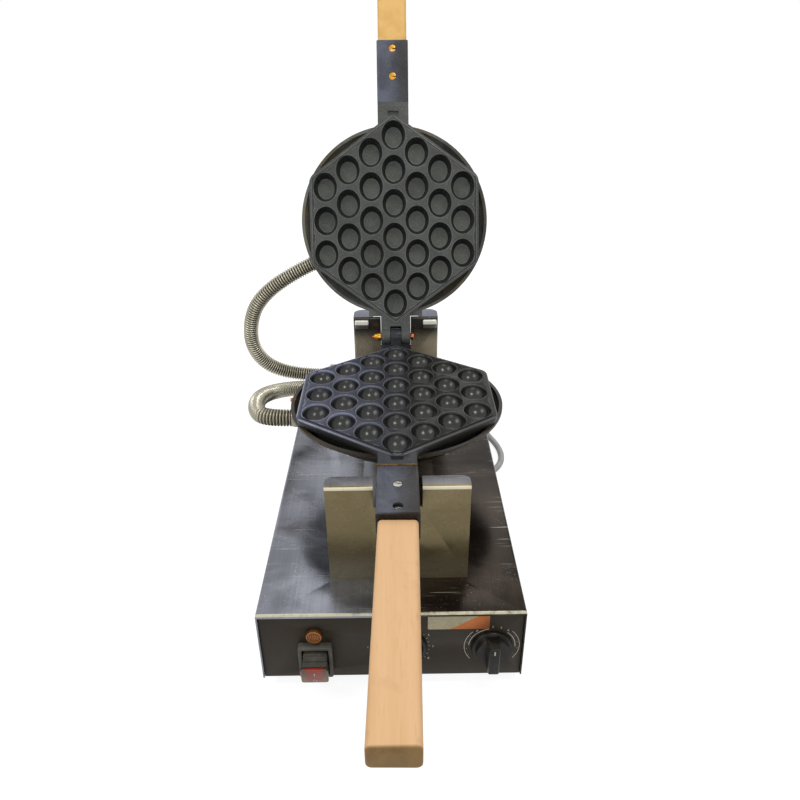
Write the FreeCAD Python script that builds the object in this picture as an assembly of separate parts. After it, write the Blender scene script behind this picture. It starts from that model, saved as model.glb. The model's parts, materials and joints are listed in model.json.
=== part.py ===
import FreeCAD, Part
import math
import os

from FreeCAD import Vector, Rotation, Matrix

# An electric egg waffle pan: a low base box with two upright supports, and two hinged cast pan
# halves that lie in the notches of the supports. The lid half is modelled open, leaning back.
# Millimetres. +X is to the right, +Y to the back, +Z up. The origin is the centre of the underside
# of the base's bottom plate. Places along the depth are given from the base's front edge.

# base box
base_width = 200.0
base_depth = 385.0
base_height = 66.0
sheet = 1.2
cover_bend_radius = 2.4
cover_lip = 4.0
fit_gap = 0.2
seat_gap = 0.1
overrun = 1.0
panel_thickness = 1.5
panel_flange = 10.0
tray_flange = 12.0
press_depth = 1.0
press_inset_x = 26.0
press_inset_y = 72.0
press_corner = 8.0
foot_radius = 11.0
foot_height = 10.0
foot_inset_x = 22.0
foot_inset_y = 30.0
foot_screw_hole = 2.2
vent_length = 60.0
vent_width = 4.0
vent_pitch = 9.0
vent_count = 5
cover_screw_inset = 40.0

# small fasteners, as head radius, head height, shank radius and shank length
cover_screw = (3.5, 2.0, 1.9, 8.0)
support_screw = (4.0, 2.4, 2.0, 9.0)
foot_screw = (3.6, 2.0, 2.0, 8.0)
plate_screw = (4.5, 3.0, 2.4, 12.0)
grip_screw = (3.4, 2.0, 1.9, 12.0)
rim_screw = (1.8, 1.6, 0.9, 3.2)
screw_slot_width = 0.9
screw_slot_depth_share = 0.5

# supports
support_sheet = 2.0
support_bend_radius = 3.0
notch_corner = 0.5
support_foot = 14.0
front_support_width = 106.5
front_support_height = 87.0
front_support_place = 37.0
front_flange = 13.0
front_notch_width = 36.0
rear_support_width = 86.0
rear_support_gap = 10.9
rear_flange = 22.0
rear_notch_gap = 0.55
rear_notch_top_width = 46.0
rear_notch_top_depth = 11.0
flange_corner = 9.0
support_tab_width = 14.0
support_tab_height = 9.0
support_screw_spread = 66.0

# controls on the front panel: insets from the panel's nearer side, drops from the base's top,
# and heights from its underside
lamp_inset = 42.2
lamp_drop = 21.2
lamp_radius = 6.3
lamp_ring_height = 1.2
lamp_dome_height = 4.0
lamp_body_radius = 4.8
lamp_body_length = 22.0
lamp_wall = 0.75
switch_inset = 42.3
switch_z = 20.6
switch_width = 25.5
switch_height = 31.0
switch_frame_depth = 6.0
switch_frame_wall = 2.6
switch_frame_corner = 1.5
switch_inner_corner = 1.0
switch_body_width = 20.0
switch_body_height = 25.0
switch_body_length = 24.0
boot_steps = 3
boot_depth = 12.4
boot_panel_gap = 1.8
boot_end_gap = 2.1
boot_side_gap = 1.1
boot_step_inset = 1.3
boot_side_growths = (0.0, 0.0, 0.8)
boot_corner = 1.6
rocker_inset = 0.6
rocker_side_growth = 1.2
rocker_corner = 2.0
rocker_depth = 2.6
rocker_tilt = 7.0
pivot_depth = 2.5
pivot_radius = 1.0
pivot_hub_radius = 3.0
pivot_hub_gap = 1.2
pivot_stem_height = 4.4
pivot_seat = 1.8
knob_bore_gap = 0.05
temperature_x = 6.5
temperature_z = 30.0
temperature_skirt_radius = 20.0
timer_inset = 24.3
timer_z = 30.0
timer_skirt_radius = 15.5
knob_skirt_height = 3.0
knob_hub_height = 7.0
knob_hub_inset = 2.0
knob_bar_width = 11.0
knob_bar_height = 16.0
knob_bar_corner = 1.5
knob_panel_gap = 0.6
shaft_radius = 3.0
shaft_flat = 0.8
bushing_radius = 4.8
bushing_length = 6.0
thermostat_radius = 23.0
thermostat_length = 28.0
timer_side = 40.0
timer_length = 32.0
timer_corner = 3.0
label_inset = 50.0
label_drop = 11.1
label_width = 46.0
label_height = 13.8
label_thickness = 0.3
terminal_width = 46.0
terminal_depth = 20.0
terminal_height = 18.0
terminal_ways = 4
terminal_place = 320.0

# pan halves, in their own frame: the middle of the cooking face, +Y to the hinge, depth downwards
pan_x = 6.0
pan_place = 170.3
pan_rise = 92.5
hinge_reach = 114.8
hinge_rise = 4.0
lid_angle = 112.1
closing_gap = 0.3
hex_half_length = 102.7
hex_half_width = 83.7
hex_side_half = 42.3
hex_corner = 12.0
border_width = 3.0
border_drop = 0.8
skirt_depth = 7.0
pad_inset = 3.0
pad_radius = 86.0
pad_depth = 13.5
pad_cone = 4.0
column_pitch = 22.6
pocket_pitch = 32.6
pocket_half_width = 11.8
pocket_half_length = 14.15
pocket_depth = 11.0
pocket_column_counts = (3, 4, 5, 6, 5, 4, 3)
cup_floor_share = 0.70
cup_waist_share = 0.88
cup_waist_depth_share = 0.45
neck_width = 29.5
neck_end = 112.7
block_width = 30.4
block_end = 170.0
block_depth = 24.0
block_edge = 2.0
tab_place = 102.0
tab_width = 9.6
tab_length = 4.0
tab_height = 2.2
tab_gap = 0.4
dish_radius = 92.6
dish_rim = 2.5
dish_depth = 34.0
dish_floor_radius = 62.0
dish_wall = 3.0
chord_reach = 94.3
chord_width = 54.0
tongue_end = 134.0
tongue_top = 9.5
heel_gap = 4.0
heel_rise = 9.5
upper_neck_end = 100.0
heater_radius = 56.0
heater_tube = 4.0
heater_gap_angle = 40.0
heater_tail = 14.0
insulation_radius = 50.0
insulation_depth = 7.0
bulb_radius = 3.0
bulb_length = 60.0
bulb_place = 24.0
plate_screw_radius = 75.3
plate_screw_angle = 60.0
boss_radius = 6.0
grip_width = 27.8
grip_depth = 16.0
grip_drop = 5.3
grip_length = 170.0
grip_edge = 3.5
grip_gap = 0.6
lower_grip_yaw = -1.1
upper_grip_yaw = 0.0
tang_width = 20.0
tang_depth = 10.0
tang_length = 44.0
tang_gap = 0.15
grip_screw_places = (136.7, 162.4)
lower_screw_depths = (2.0, 4.6)
upper_screw_depths = (2.0, 2.0)
rim_screw_angle = 177.0

# hinge
barrel_radius = 8.0
barrel_gap = 1.2
lug_width = 10.4
lug_side_gap = 0.5
pin_radius = 2.4
pin_gap = 0.06
pin_head_radius = 3.6
pin_head_height = 3.4
nut_radius = 4.2
nut_height = 4.2
nut_dome = 2.6
pin_tip_radius = 1.5
pin_tip = 2.4

# conduits and their fittings
conduit_crest = 7.8
conduit_valley = 6.8
conduit_bore = 5.4
rib_pitch = 2.6
rib_shares = (0.12, 0.34, 0.62, 0.84)
boss_outlet_radius = 9.0
fitting_radius = 9.5
fitting_length = 6.0
fitting_depth = 24.0
fitting_root = 87.4
upper_exit_angle = 25.0
lower_exit_angle = 0.0
elbow_radius = 10.0
elbow_nut_radius = 12.0
elbow_nut_length = 9.0
elbow_collar_radius = 14.0
elbow_collar_height = 5.0
elbow_thread = 8.0
lower_exit_run = 24.0
upper_exit_run = 29.0
elbow_run = 29.0
lower_elbow_place = (-58.0, 313.0)
lower_elbow_height = 25.0
lower_elbow_turn = 31.0
lower_elbow_rise = 15.0
upper_elbow_place = (-50.0, 350.0)
upper_elbow_height = 22.0
upper_elbow_turn = 0.0
upper_elbow_rise = 0.0
lower_conduit_way = ((-123.0, 187.0, 133.0), (-127.5, 222.0, 126.5), (-121.0, 260.0, 114.0))
upper_conduit_way = ((-136.0, 326.0, 190.0), (-149.5, 330.0, 163.0), (-152.0, 335.0, 129.0),
                     (-135.0, 343.0, 101.0))

# power cord, behind and beside the base, on the table
cord_radius = 3.5
gland_x = 15.0
gland_z = 28.0
gland_nut_radius = 11.0
gland_nut_height = 6.0
gland_length = 26.0
gland_tip_radius = 5.0
cord_lie = 0.2
cord_way = ((15.0, 452.0, 28.0), (43.0, 480.0, 10.0), (83.0, 482.0, -6.3), (112.0, 455.0, -6.3),
            (111.0, 414.0, -6.3), (114.0, 376.0, -6.3), (129.0, 336.0, -6.3), (126.0, 302.0, -6.3),
            (101.0, 276.0, -6.3), (65.0, 274.0, -6.3), (40.0, 300.0, -6.3), (36.0, 335.0, -6.3),
            (28.0, 370.0, -6.3), (10.0, 400.0, -6.3), (4.0, 434.0, -6.3))
coil_x = -42.0
coil_place = 464.0
coil_radius = 46.0
coil_step = 7.8
coil_rise = 7.7
coil_turns_each_way = 2
coil_tail = 30.0
tie_width = 6.0
tie_thickness = 1.2
tie_gap = 0.3
plug_width = 26.0
plug_height = 18.0
plug_length = 38.0
plug_corner = 4.0
plug_neck_radius = 5.5
plug_neck_length = 12.0
plug_neck_wall = 0.8
plug_pin_radius = 2.2
plug_pin_length = 18.0
plug_pin_spread = 13.0

# places worked out from the sizes above
lid_swing = -lid_angle
pan_face_height = base_height + pan_rise
hinge_height = pan_face_height + hinge_rise
hinge_place = pan_place + hinge_reach
rear_support_place = hinge_place + rear_support_gap
lamp_x = lamp_inset - base_width / 2.0
lamp_z = base_height - lamp_drop
switch_x = switch_inset - base_width / 2.0
timer_x = base_width / 2.0 - timer_inset
label_x = base_width / 2.0 - label_inset
label_z = base_height - label_drop
lower_elbow = (*lower_elbow_place, base_height + lower_elbow_height)
upper_elbow = (*upper_elbow_place, base_height + upper_elbow_height)
dish_top = skirt_depth + seat_gap
rest_depth = dish_top + dish_rim
support_z = base_height
front_notch_floor = pan_face_height - border_drop - block_depth - seat_gap
rear_notch_floor = pan_face_height - block_depth - border_drop - seat_gap
table_z = -foot_height


def front(place):
    """Turns a place measured from the base's front edge into the part's Y."""
    return place - base_depth / 2.0


def box(x0, x1, y0, y1, z0, z1):
    shape = Part.makeBox(x1 - x0, y1 - y0, z1 - z0)
    shape.translate(Vector(x0, y0, z0))
    return shape


def rod(start, end, radius):
    way = end.sub(start)
    return Part.makeCylinder(radius, way.Length, start, way)


def cone(start, end, radius_start, radius_end):
    way = end.sub(start)
    return Part.makeCone(radius_start, radius_end, way.Length, start, way)


def soft_box(x0, x1, y0, y1, z0, z1, edge, along):
    """A box whose edges along one axis are rounded."""
    shape = box(x0, x1, y0, y1, z0, z1)
    edges = []
    for item in shape.Edges:
        way = item.Vertexes[1].Point.sub(item.Vertexes[0].Point)
        if abs(getattr(way, along)) > way.Length / 2.0:
            edges.append(item)
    return shape.makeFillet(edge, edges)


def group(shapes):
    return Part.makeCompound(shapes)


def polygon_face(points):
    wire = Part.makePolygon([Vector(*point) for point in points] + [Vector(*points[0])])
    return Part.Face(wire)


def screw(sizes, tip, way):
    """A round headed screw with a slot. Its head's underside is at tip, its shank points along way."""
    head_radius, head_height, shank_radius, shank_length = sizes
    way = Vector(way).normalize()
    up = way * (-1.0)
    head = Part.makeCylinder(head_radius, head_height, tip, up)
    shank = Part.makeCylinder(shank_radius, shank_length, tip, way)
    body = head.fuse(shank).removeSplitter()
    deep = head_height * screw_slot_depth_share
    slot = box(-head_radius * 2.0, head_radius * 2.0, -screw_slot_width / 2.0, screw_slot_width / 2.0,
               head_height - deep, head_height + overrun)
    slot.Placement = FreeCAD.Placement(tip, Rotation(Vector(0, 0, 1), up))
    return body.cut(slot)


def arc_edge(start, way, end):
    """The arc, or the line, that leaves start along way and reaches end."""
    chord = end.sub(start)
    along = Vector(chord).normalize()
    side = way.sub(along * way.dot(along))
    if side.Length < 1e-6:
        return Part.LineSegment(start, end).toShape()
    turn = math.atan2(side.Length, way.dot(along))
    side.normalize()
    middle = start.add(chord * 0.5).add(side * (chord.Length * 0.5 * math.tan(turn * 0.5)))
    return Part.Arc(start, middle, end).toShape()


def rounded_edges(points, label=None):
    """Straight runs with a tangent arc at each corner, 0.45 of the shorter run long on each side."""
    points = [Vector(*point) for point in points]
    edges = []
    radii = []
    last = points[0]
    for before, corner, after in zip(points, points[1:], points[2:]):
        inward = corner.sub(before)
        outward = after.sub(corner)
        leg = 0.45 * min(inward.Length, outward.Length)
        start = corner.sub(Vector(inward).normalize() * leg)
        end = corner.add(Vector(outward).normalize() * leg)
        half_turn = inward.getAngle(outward) / 2.0
        radii.append(leg / math.tan(half_turn))
        edges.append(Part.LineSegment(last, start).toShape())
        edges.append(arc_edge(start, Vector(inward).normalize(), end))
        last = end
    edges.append(Part.LineSegment(last, points[-1]).toShape())
    if label:
        print(label, "radii", [round(radius, 1) for radius in radii],
              "length", round(sum(edge.Length for edge in edges), 1))
    return edges


def tube(edges, radius):
    """A round tube along a chain of edges, checked against its section times its length."""
    wire = Part.Wire(edges)
    start = edges[0].valueAt(edges[0].FirstParameter)
    way = edges[0].tangentAt(edges[0].FirstParameter)
    ring = Part.Wire([Part.makeCircle(radius, start, way)])
    shape = wire.makePipeShell([ring], True, False)
    length = sum(edge.Length for edge in edges)
    print("tube volume share", round(shape.Volume / (math.pi * radius ** 2 * length), 4))
    return shape


def stations(edges, places):
    """The points and directions at the given lengths along a chain of edges."""
    found = []
    done = 0.0
    chain = iter(edges)
    edge = next(chain)
    for place in places:
        while place > done + edge.Length + 1e-6:
            done += edge.Length
            edge = next(chain)
        step = edge.getParameterByLength(min(max(place - done, 0.0), edge.Length))
        found.append((edge.valueAt(step), edge.tangentAt(step)))
    return found


def ring_wire(point, way, steady, radius):
    """A circle across way whose seam keeps to one side."""
    across = steady.sub(way * steady.dot(way)).normalize()
    turn = Rotation(across, way.cross(across), way, "ZXY")
    circle = Part.Circle()
    circle.Radius = radius
    edge = circle.toShape()
    edge.Placement = FreeCAD.Placement(point, turn)
    return Part.Wire([edge])


def ribbed_hose(edges, steady):
    """A hose with a smooth bore and a rib every rib_pitch, its ends straight and square."""
    length = sum(edge.Length for edge in edges)
    plain = conduit_crest * 2.0
    count = int((length - 2.0 * plain) / rib_pitch)
    start = (length - count * rib_pitch) / 2.0
    places = [0.0]
    radii = [conduit_valley]
    for index in range(count):
        rib = (conduit_valley, conduit_crest, conduit_crest, conduit_valley)
        for share, radius in zip(rib_shares, rib):
            places.append(start + (index + share) * rib_pitch)
            radii.append(radius)
    places.append(length)
    radii.append(conduit_valley)
    rings = [ring_wire(point, way, steady, radius)
             for (point, way), radius in zip(stations(edges, places), radii)]
    outside = Part.makeLoft(rings, True, True)
    bore = tube(edges, conduit_bore)
    solid = outside.cut(bore)
    print("hose ribs", count, "length", round(length, 1), "volume", round(solid.Volume), solid.isValid())
    return solid


def cross_section_cover():
    """The outline of the top cover's bent sheet, seen from the front."""
    half = base_width / 2.0
    outer = soft_box(-half, half, front(0), front(base_depth), -base_height, base_height,
                     cover_bend_radius, "y")
    inner = soft_box(-half + sheet, half - sheet, front(0) - overrun, front(base_depth) + overrun,
                     -base_height - overrun, base_height - sheet, cover_bend_radius - sheet, "y")
    below = box(-base_width, base_width, front(0) - overrun, front(base_depth) + overrun,
                -base_height - overrun, 0)
    return outer.cut(inner).cut(below)


def make_top_cover():
    cover = cross_section_cover()
    inner_half = base_width / 2.0 - sheet
    low = base_height - cover_lip
    high = base_height - sheet
    for start, end in ((0, sheet), (base_depth - sheet, base_depth)):
        lip = box(-inner_half, inner_half, front(start), front(end), low, high)
        cover = cover.fuse(lip)
    holes = []
    for x, place, z in (lower_elbow, upper_elbow):
        holes.append(rod(Vector(x, front(place), low - cover_lip),
                         Vector(x, front(place), base_height + overrun),
                         elbow_radius + fit_gap))
    for point in support_screw_points():
        holes.append(rod(Vector(point.x, point.y, low), Vector(point.x, point.y, base_height + overrun),
                         support_screw[2] + fit_gap))
    for x, y, z, way in cover_screw_places():
        holes.append(rod(Vector(x - way * sheet * 2.0, y, z), Vector(x + way * overrun, y, z),
                         cover_screw[2] + fit_gap))
    return cover.cut(group(holes)).removeSplitter()


def cover_screw_places():
    """Two screws low on each side wall, with the side they enter from."""
    half = base_width / 2.0
    places = []
    for side in (-1, 1):
        for place in (cover_screw_inset, base_depth - cover_screw_inset):
            places.append((side * half, front(place), tray_flange / 2.0, side))
    return places


def make_cover_screws():
    return group([screw(cover_screw, Vector(x, y, z), Vector(-side, 0, 0))
                  for x, y, z, side in cover_screw_places()])


def foot_centres():
    half = base_width / 2.0
    return [Vector(x, front(place), 0) for x in (-half + foot_inset_x, half - foot_inset_x)
            for place in (foot_inset_y, base_depth - foot_inset_y)]


def make_bottom_plate():
    """A tray with a flange up each side, a pressed down middle, vent slots and holes for the feet."""
    half = base_width / 2.0 - sheet - fit_gap
    start = front(sheet + panel_thickness + fit_gap * 2.0)
    end = front(base_depth - sheet - panel_thickness - fit_gap * 2.0)
    floor = press_depth + sheet
    tray = box(-half, half, start, end, press_depth, floor)
    for side in (-1, 1):
        inner = half - sheet
        wall = box(min(side * inner, side * half), max(side * inner, side * half), start, end,
                   press_depth, tray_flange)
        tray = tray.fuse(wall)
    wide = base_width / 2.0 - press_inset_x
    low = front(press_inset_y)
    high = front(base_depth - press_inset_y)
    tray = tray.fuse(soft_box(-wide, wide, low, high, 0, floor, press_corner, "z"))
    cuts = [soft_box(-wide + sheet, wide - sheet, low + sheet, high - sheet, sheet, floor + overrun,
                     press_corner - sheet, "z")]
    for index in range(vent_count):
        middle = (index - (vent_count - 1) / 2.0) * vent_pitch
        for place in (base_depth * 0.3, base_depth * 0.7):
            cuts.append(soft_box(-vent_length / 2.0, vent_length / 2.0,
                                 front(place) + middle - vent_width / 2.0,
                                 front(place) + middle + vent_width / 2.0, -overrun, sheet + overrun,
                                 vent_width * 0.45, "z"))
    for centre in foot_centres():
        cuts.append(Part.makeCylinder(foot_screw_hole, floor + overrun * 2.0,
                                      centre - Vector(0, 0, overrun)))
    for x, y, z, side in cover_screw_places():
        cuts.append(rod(Vector(x, y, z), Vector(x - side * cover_screw[3] * 2.0, y, z),
                        cover_screw[2] + fit_gap))
    return tray.cut(group(cuts)).removeSplitter()


def make_feet():
    feet = []
    for centre in foot_centres():
        foot = cone(centre - Vector(0, 0, foot_height), centre + Vector(0, 0, press_depth),
                    foot_radius * 0.86, foot_radius)
        recess = Part.makeCylinder(foot_screw[0] + fit_gap, foot_height / 2.0,
                                   centre - Vector(0, 0, foot_height))
        hole = Part.makeCylinder(foot_screw_hole, foot_height + press_depth,
                                 centre - Vector(0, 0, foot_height))
        feet.append(foot.cut(recess).cut(hole))
    return group(feet)


def make_foot_screws():
    drop = Vector(0, 0, foot_height / 2.0)
    return group([screw(foot_screw, centre - drop, Vector(0, 0, 1)) for centre in foot_centres()])


def panel(start, holes):
    """An upright panel between the cover's side walls, with a flange that lies on the bottom plate."""
    half = base_width / 2.0 - sheet - fit_gap
    inner = 1 if start < base_depth / 2.0 else -1
    face = front(start)
    back = face + inner * panel_thickness
    top = base_height - sheet - fit_gap
    plate = box(-half, half, min(face, back), max(face, back), 0, top)
    shoulders = [edge for edge in plate.Edges
                 if edge.BoundBox.ZMin > top - seat_gap and edge.BoundBox.XLength < seat_gap]
    plate = plate.makeFillet(cover_bend_radius, shoulders)
    shelf_end = face + inner * panel_flange
    flange_half = half - sheet - fit_gap
    shelf = box(-flange_half, flange_half, min(face, shelf_end), max(face, shelf_end),
                press_depth + sheet + fit_gap, press_depth + sheet + fit_gap + panel_thickness)
    return plate.fuse(shelf).cut(group(holes)).removeSplitter()


def panel_hole(x, z, radius):
    return rod(Vector(x, front(0) - overrun, z), Vector(x, front(panel_flange), z), radius)


def make_front_panel():
    body_half_width = switch_body_width / 2.0 + fit_gap
    body_half_height = switch_body_height / 2.0 + fit_gap
    window = box(switch_x - body_half_width, switch_x + body_half_width, front(0) - overrun,
                 front(panel_flange * 0.5),
                 switch_z - body_half_height, switch_z + body_half_height)
    holes = [window, panel_hole(lamp_x, lamp_z, lamp_body_radius + fit_gap),
             panel_hole(temperature_x, temperature_z, bushing_radius + fit_gap),
             panel_hole(timer_x, timer_z, bushing_radius + fit_gap)]
    return panel(sheet + fit_gap, holes)


def make_rear_panel():
    holes = [rod(Vector(gland_x, front(base_depth) - panel_flange, gland_z),
                 Vector(gland_x, front(base_depth) + overrun, gland_z), gland_tip_radius + fit_gap)]
    for index in range(vent_count):
        z = gland_z + (index - (vent_count - 1) / 2.0) * vent_pitch * 0.8
        holes.append(box(-vent_length * 1.2, -vent_length * 0.2, front(base_depth) - panel_flange * 0.5,
                         front(base_depth) + overrun, z - vent_width * 0.4, z + vent_width * 0.4))
    return panel(base_depth - sheet - fit_gap, holes)


def support_screw_points():
    points = []
    for place in (front_support_place, rear_support_place):
        for side in (-1, 1):
            y = front(place) + support_sheet + support_foot * 0.5
            points.append(Vector(pan_x + side * support_screw_spread / 2.0, y, support_z))
    return points


def make_support_screws():
    up = Vector(0, 0, support_sheet)
    return group([screw(support_screw, point + up, Vector(0, 0, -1)) for point in support_screw_points()])


def bent_support(width, place, height, flange):
    """A plate on a foot, both bent back, and a flange at the top with rounded far corners."""
    half = width / 2.0
    y = front(place)
    top = support_z + height
    plate = box(pan_x - half, pan_x + half, y, y + support_sheet, support_z, top)
    shelf = box(pan_x - half, pan_x + half, y, y + flange, top - support_sheet, top)
    foot = box(pan_x - half, pan_x + half, y, y + support_sheet + support_foot, support_z,
               support_z + support_sheet)
    solid = plate.fuse(shelf).fuse(foot).removeSplitter()
    corners = []
    for item in solid.Edges:
        middle = item.valueAt((item.FirstParameter + item.LastParameter) / 2.0)
        box_of = item.BoundBox
        upright = box_of.ZLength > box_of.XLength + box_of.YLength
        at_end = abs(middle.y - (y + flange)) < seat_gap and middle.z > top - support_sheet
        if upright and at_end:
            corners.append(item)
    solid = solid.makeFillet(min(flange_corner, flange * 0.45), corners)
    front_folds = []
    for item in solid.Edges:
        middle = item.valueAt((item.FirstParameter + item.LastParameter) / 2.0)
        on_fold = abs(middle.y - y) < seat_gap and abs(middle.z - top) < seat_gap
        if item.BoundBox.XLength > width * 0.9 and on_fold:
            front_folds.append(item)
    return solid.makeFillet(support_bend_radius * 0.6, front_folds)


def notch(width, place, depth, floor, top, corner):
    y = front(place)
    return soft_box(pan_x - width / 2.0, pan_x + width / 2.0, y - overrun * 4.0, y + depth + overrun,
                    floor, top + corner * 4.0, corner, "y")


def support_screw_holes():
    return [Part.makeCylinder(support_screw[2] + fit_gap, support_sheet + overrun * 2.0,
                              point - Vector(0, 0, overrun))
            for point in support_screw_points()]


def make_front_support():
    top = support_z + front_support_height
    solid = bent_support(front_support_width, front_support_place, front_support_height, front_flange)
    gap = notch(front_notch_width, front_support_place, front_flange, front_notch_floor, top, notch_corner)
    return solid.cut(gap).cut(group(support_screw_holes())).removeSplitter()


def lid_point(x, reach, depth):
    """Where a point of the open lid lies: reach from the hinge along the pan, depth behind its face."""
    swing = math.radians(180.0 - lid_angle)
    behind = depth - (hinge_rise - closing_gap)
    y = front(hinge_place) + reach * math.cos(swing) + behind * math.sin(swing)
    z = hinge_height + reach * math.sin(swing) - behind * math.cos(swing)
    return Vector(x, y, z)


def rear_support_height():
    """The open lid's rim comes to rest on the rear support's flange."""
    rest = lid_point(pan_x, hinge_reach - chord_reach, rest_depth)
    return rest.z - closing_gap - support_z


def make_rear_support():
    height = rear_support_height()
    top = support_z + height
    solid = bent_support(rear_support_width, rear_support_place, height, rear_flange)
    y = front(rear_support_place)
    wide = box(pan_x - rear_notch_top_width / 2.0, pan_x + rear_notch_top_width / 2.0,
               y + support_sheet, y + rear_flange + overrun, top - rear_notch_top_depth, top + overrun)
    deep = notch(neck_width + rear_notch_gap * 2.0, rear_support_place, rear_flange, rear_notch_floor,
                 top, notch_corner)
    solid = solid.cut(wide).cut(deep)
    half = rear_support_width / 2.0
    for side in (-1, 1):
        outer = pan_x + side * (half - overrun)
        inner = outer - side * support_tab_width
        low = top - support_bend_radius - support_tab_height
        tab = soft_box(min(outer, inner), max(outer, inner), y - support_sheet * 0.5, y,
                       low, top - support_bend_radius, support_sheet, "y")
        solid = solid.fuse(tab)
    return solid.cut(group(support_screw_holes())).removeSplitter()


def make_lamp_body():
    ring_start = Vector(lamp_x, front(sheet + fit_gap) - lamp_ring_height, lamp_z)
    body = rod(ring_start, Vector(lamp_x, front(lamp_body_length), lamp_z), lamp_body_radius)
    ring = rod(ring_start, Vector(lamp_x, front(sheet + fit_gap), lamp_z), lamp_radius)
    seat = rod(ring_start - Vector(0, overrun, 0), Vector(lamp_x, front(lamp_body_length * 0.5), lamp_z),
               lamp_body_radius - lamp_wall)
    return body.fuse(ring).removeSplitter().cut(seat)


def make_lamp_lens():
    face = front(sheet + fit_gap) - lamp_ring_height
    stem_radius = lamp_body_radius - lamp_wall - fit_gap
    stem = rod(Vector(lamp_x, face, lamp_z), Vector(lamp_x, front(lamp_body_length * 0.4), lamp_z),
               stem_radius)
    crown = rod(Vector(lamp_x, face - lamp_dome_height * 0.5, lamp_z),
                Vector(lamp_x, face - seat_gap, lamp_z),
                lamp_radius * 0.9)
    cap = cone(Vector(lamp_x, face - lamp_dome_height, lamp_z),
               Vector(lamp_x, face - lamp_dome_height * 0.5, lamp_z),
               lamp_radius * 0.6, lamp_radius * 0.9)
    return stem.fuse(crown).fuse(cap).fuse(
        rod(Vector(lamp_x, face - seat_gap, lamp_z), Vector(lamp_x, face, lamp_z),
            stem_radius)).removeSplitter()


def switch_box(half_width, half_height, near, far, edge):
    y = front(sheet + fit_gap)
    return soft_box(switch_x - half_width, switch_x + half_width, y - far, y - near,
                    switch_z - half_height, switch_z + half_height, edge, "y")


def make_switch_frame():
    outer = switch_box(switch_width / 2.0, switch_height / 2.0, 0, switch_frame_depth,
                       switch_frame_corner)
    inner = switch_box(switch_width / 2.0 - switch_frame_wall, switch_height / 2.0 - switch_frame_wall,
                       -overrun, switch_frame_depth + overrun, switch_inner_corner)
    return outer.cut(inner)


def make_switch_body():
    body = switch_box(switch_body_width / 2.0, switch_body_height / 2.0, -switch_body_length, 0,
                      switch_inner_corner)
    well = switch_box(switch_body_width / 2.0 - switch_frame_wall,
                      switch_body_height / 2.0 - switch_frame_wall,
                      -switch_body_length * 0.4, overrun, switch_inner_corner)
    return body.cut(well).cut(switch_rod(pivot_reach() + knob_bore_gap, pivot_radius + knob_bore_gap))


def switch_pivot():
    """The rocker turns on a pin just behind the panel's face."""
    return Vector(switch_x, front(sheet + fit_gap + pivot_depth), switch_z)


def switch_rod(half_length, radius):
    along = Vector(half_length, 0, 0)
    return rod(switch_pivot() - along, switch_pivot() + along, radius)


def pivot_reach():
    """The pin's ends sit in the walls of the switch body."""
    return switch_body_width / 2.0 - switch_frame_wall + pivot_seat


def make_switch_pivot():
    return switch_rod(pivot_reach(), pivot_radius)


def rocker_turn(shape):
    """The rocker rests with its lower edge pressed in."""
    shape.rotate(switch_pivot(), Vector(1, 0, 0), rocker_tilt)
    return shape


def make_switch_boot():
    """A boot in steps, each lower than the one behind it, on a hub that turns on the pin."""
    half_width = switch_width / 2.0 - switch_frame_wall - boot_side_gap
    half_height = switch_height / 2.0 - switch_frame_wall - boot_end_gap
    steps = []
    for index in range(boot_steps):
        inset = index * boot_step_inset
        near = boot_panel_gap + index * boot_depth / boot_steps
        far = boot_panel_gap + (index + 1) * boot_depth / boot_steps
        steps.append(switch_box(half_width + boot_side_growths[index], half_height - inset, near, far,
                                boot_corner))
    boot = steps[0]
    for step in steps[1:]:
        boot = boot.fuse(step)
    hub_half = switch_body_width / 2.0 - switch_frame_wall - pivot_hub_gap
    pivot = switch_pivot()
    stem_start = front(sheet + fit_gap) - boot_panel_gap - overrun
    stem = box(switch_x - hub_half, switch_x + hub_half, stem_start, pivot.y,
               switch_z - pivot_stem_height / 2.0, switch_z + pivot_stem_height / 2.0)
    boot = boot.fuse([stem, switch_rod(hub_half, pivot_hub_radius)]).removeSplitter()
    boot = boot.cut(switch_rod(hub_half + overrun, pivot_radius + knob_bore_gap))
    return rocker_turn(boot)


def make_switch_rocker():
    inset = (boot_steps - 1) * boot_step_inset + rocker_inset
    half_width = switch_width / 2.0 - switch_frame_wall - boot_side_gap + rocker_side_growth
    half_height = switch_height / 2.0 - switch_frame_wall - boot_end_gap - inset
    near = boot_panel_gap + boot_depth + seat_gap
    return rocker_turn(switch_box(half_width, half_height, near, near + rocker_depth,
                                 rocker_corner))


def knob(x, z, skirt_radius):
    """A skirt, a hub and a grip bar across it, with a flatted bore for the shaft."""
    face = front(sheet + fit_gap) - knob_panel_gap
    centre = Vector(x, face, z)
    out = Vector(0, -1, 0)
    hub_radius = skirt_radius - knob_hub_inset
    skirt = cone(centre, centre + out * knob_skirt_height, skirt_radius,
                 skirt_radius - knob_hub_inset * 0.5)
    hub = cone(centre + out * knob_skirt_height, centre + out * knob_hub_height, hub_radius,
               hub_radius * 0.9)
    bar = soft_box(x - knob_bar_width / 2.0, x + knob_bar_width / 2.0, face - knob_bar_height,
                   face - knob_skirt_height,
                   z - hub_radius, z + hub_radius, knob_bar_corner, "y")
    solid = skirt.fuse(hub).fuse(bar).removeSplitter()
    bore = shaft(x, z, knob_bar_height - sheet * 2.0, 0, knob_bore_gap)
    return solid.cut(bore)


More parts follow.
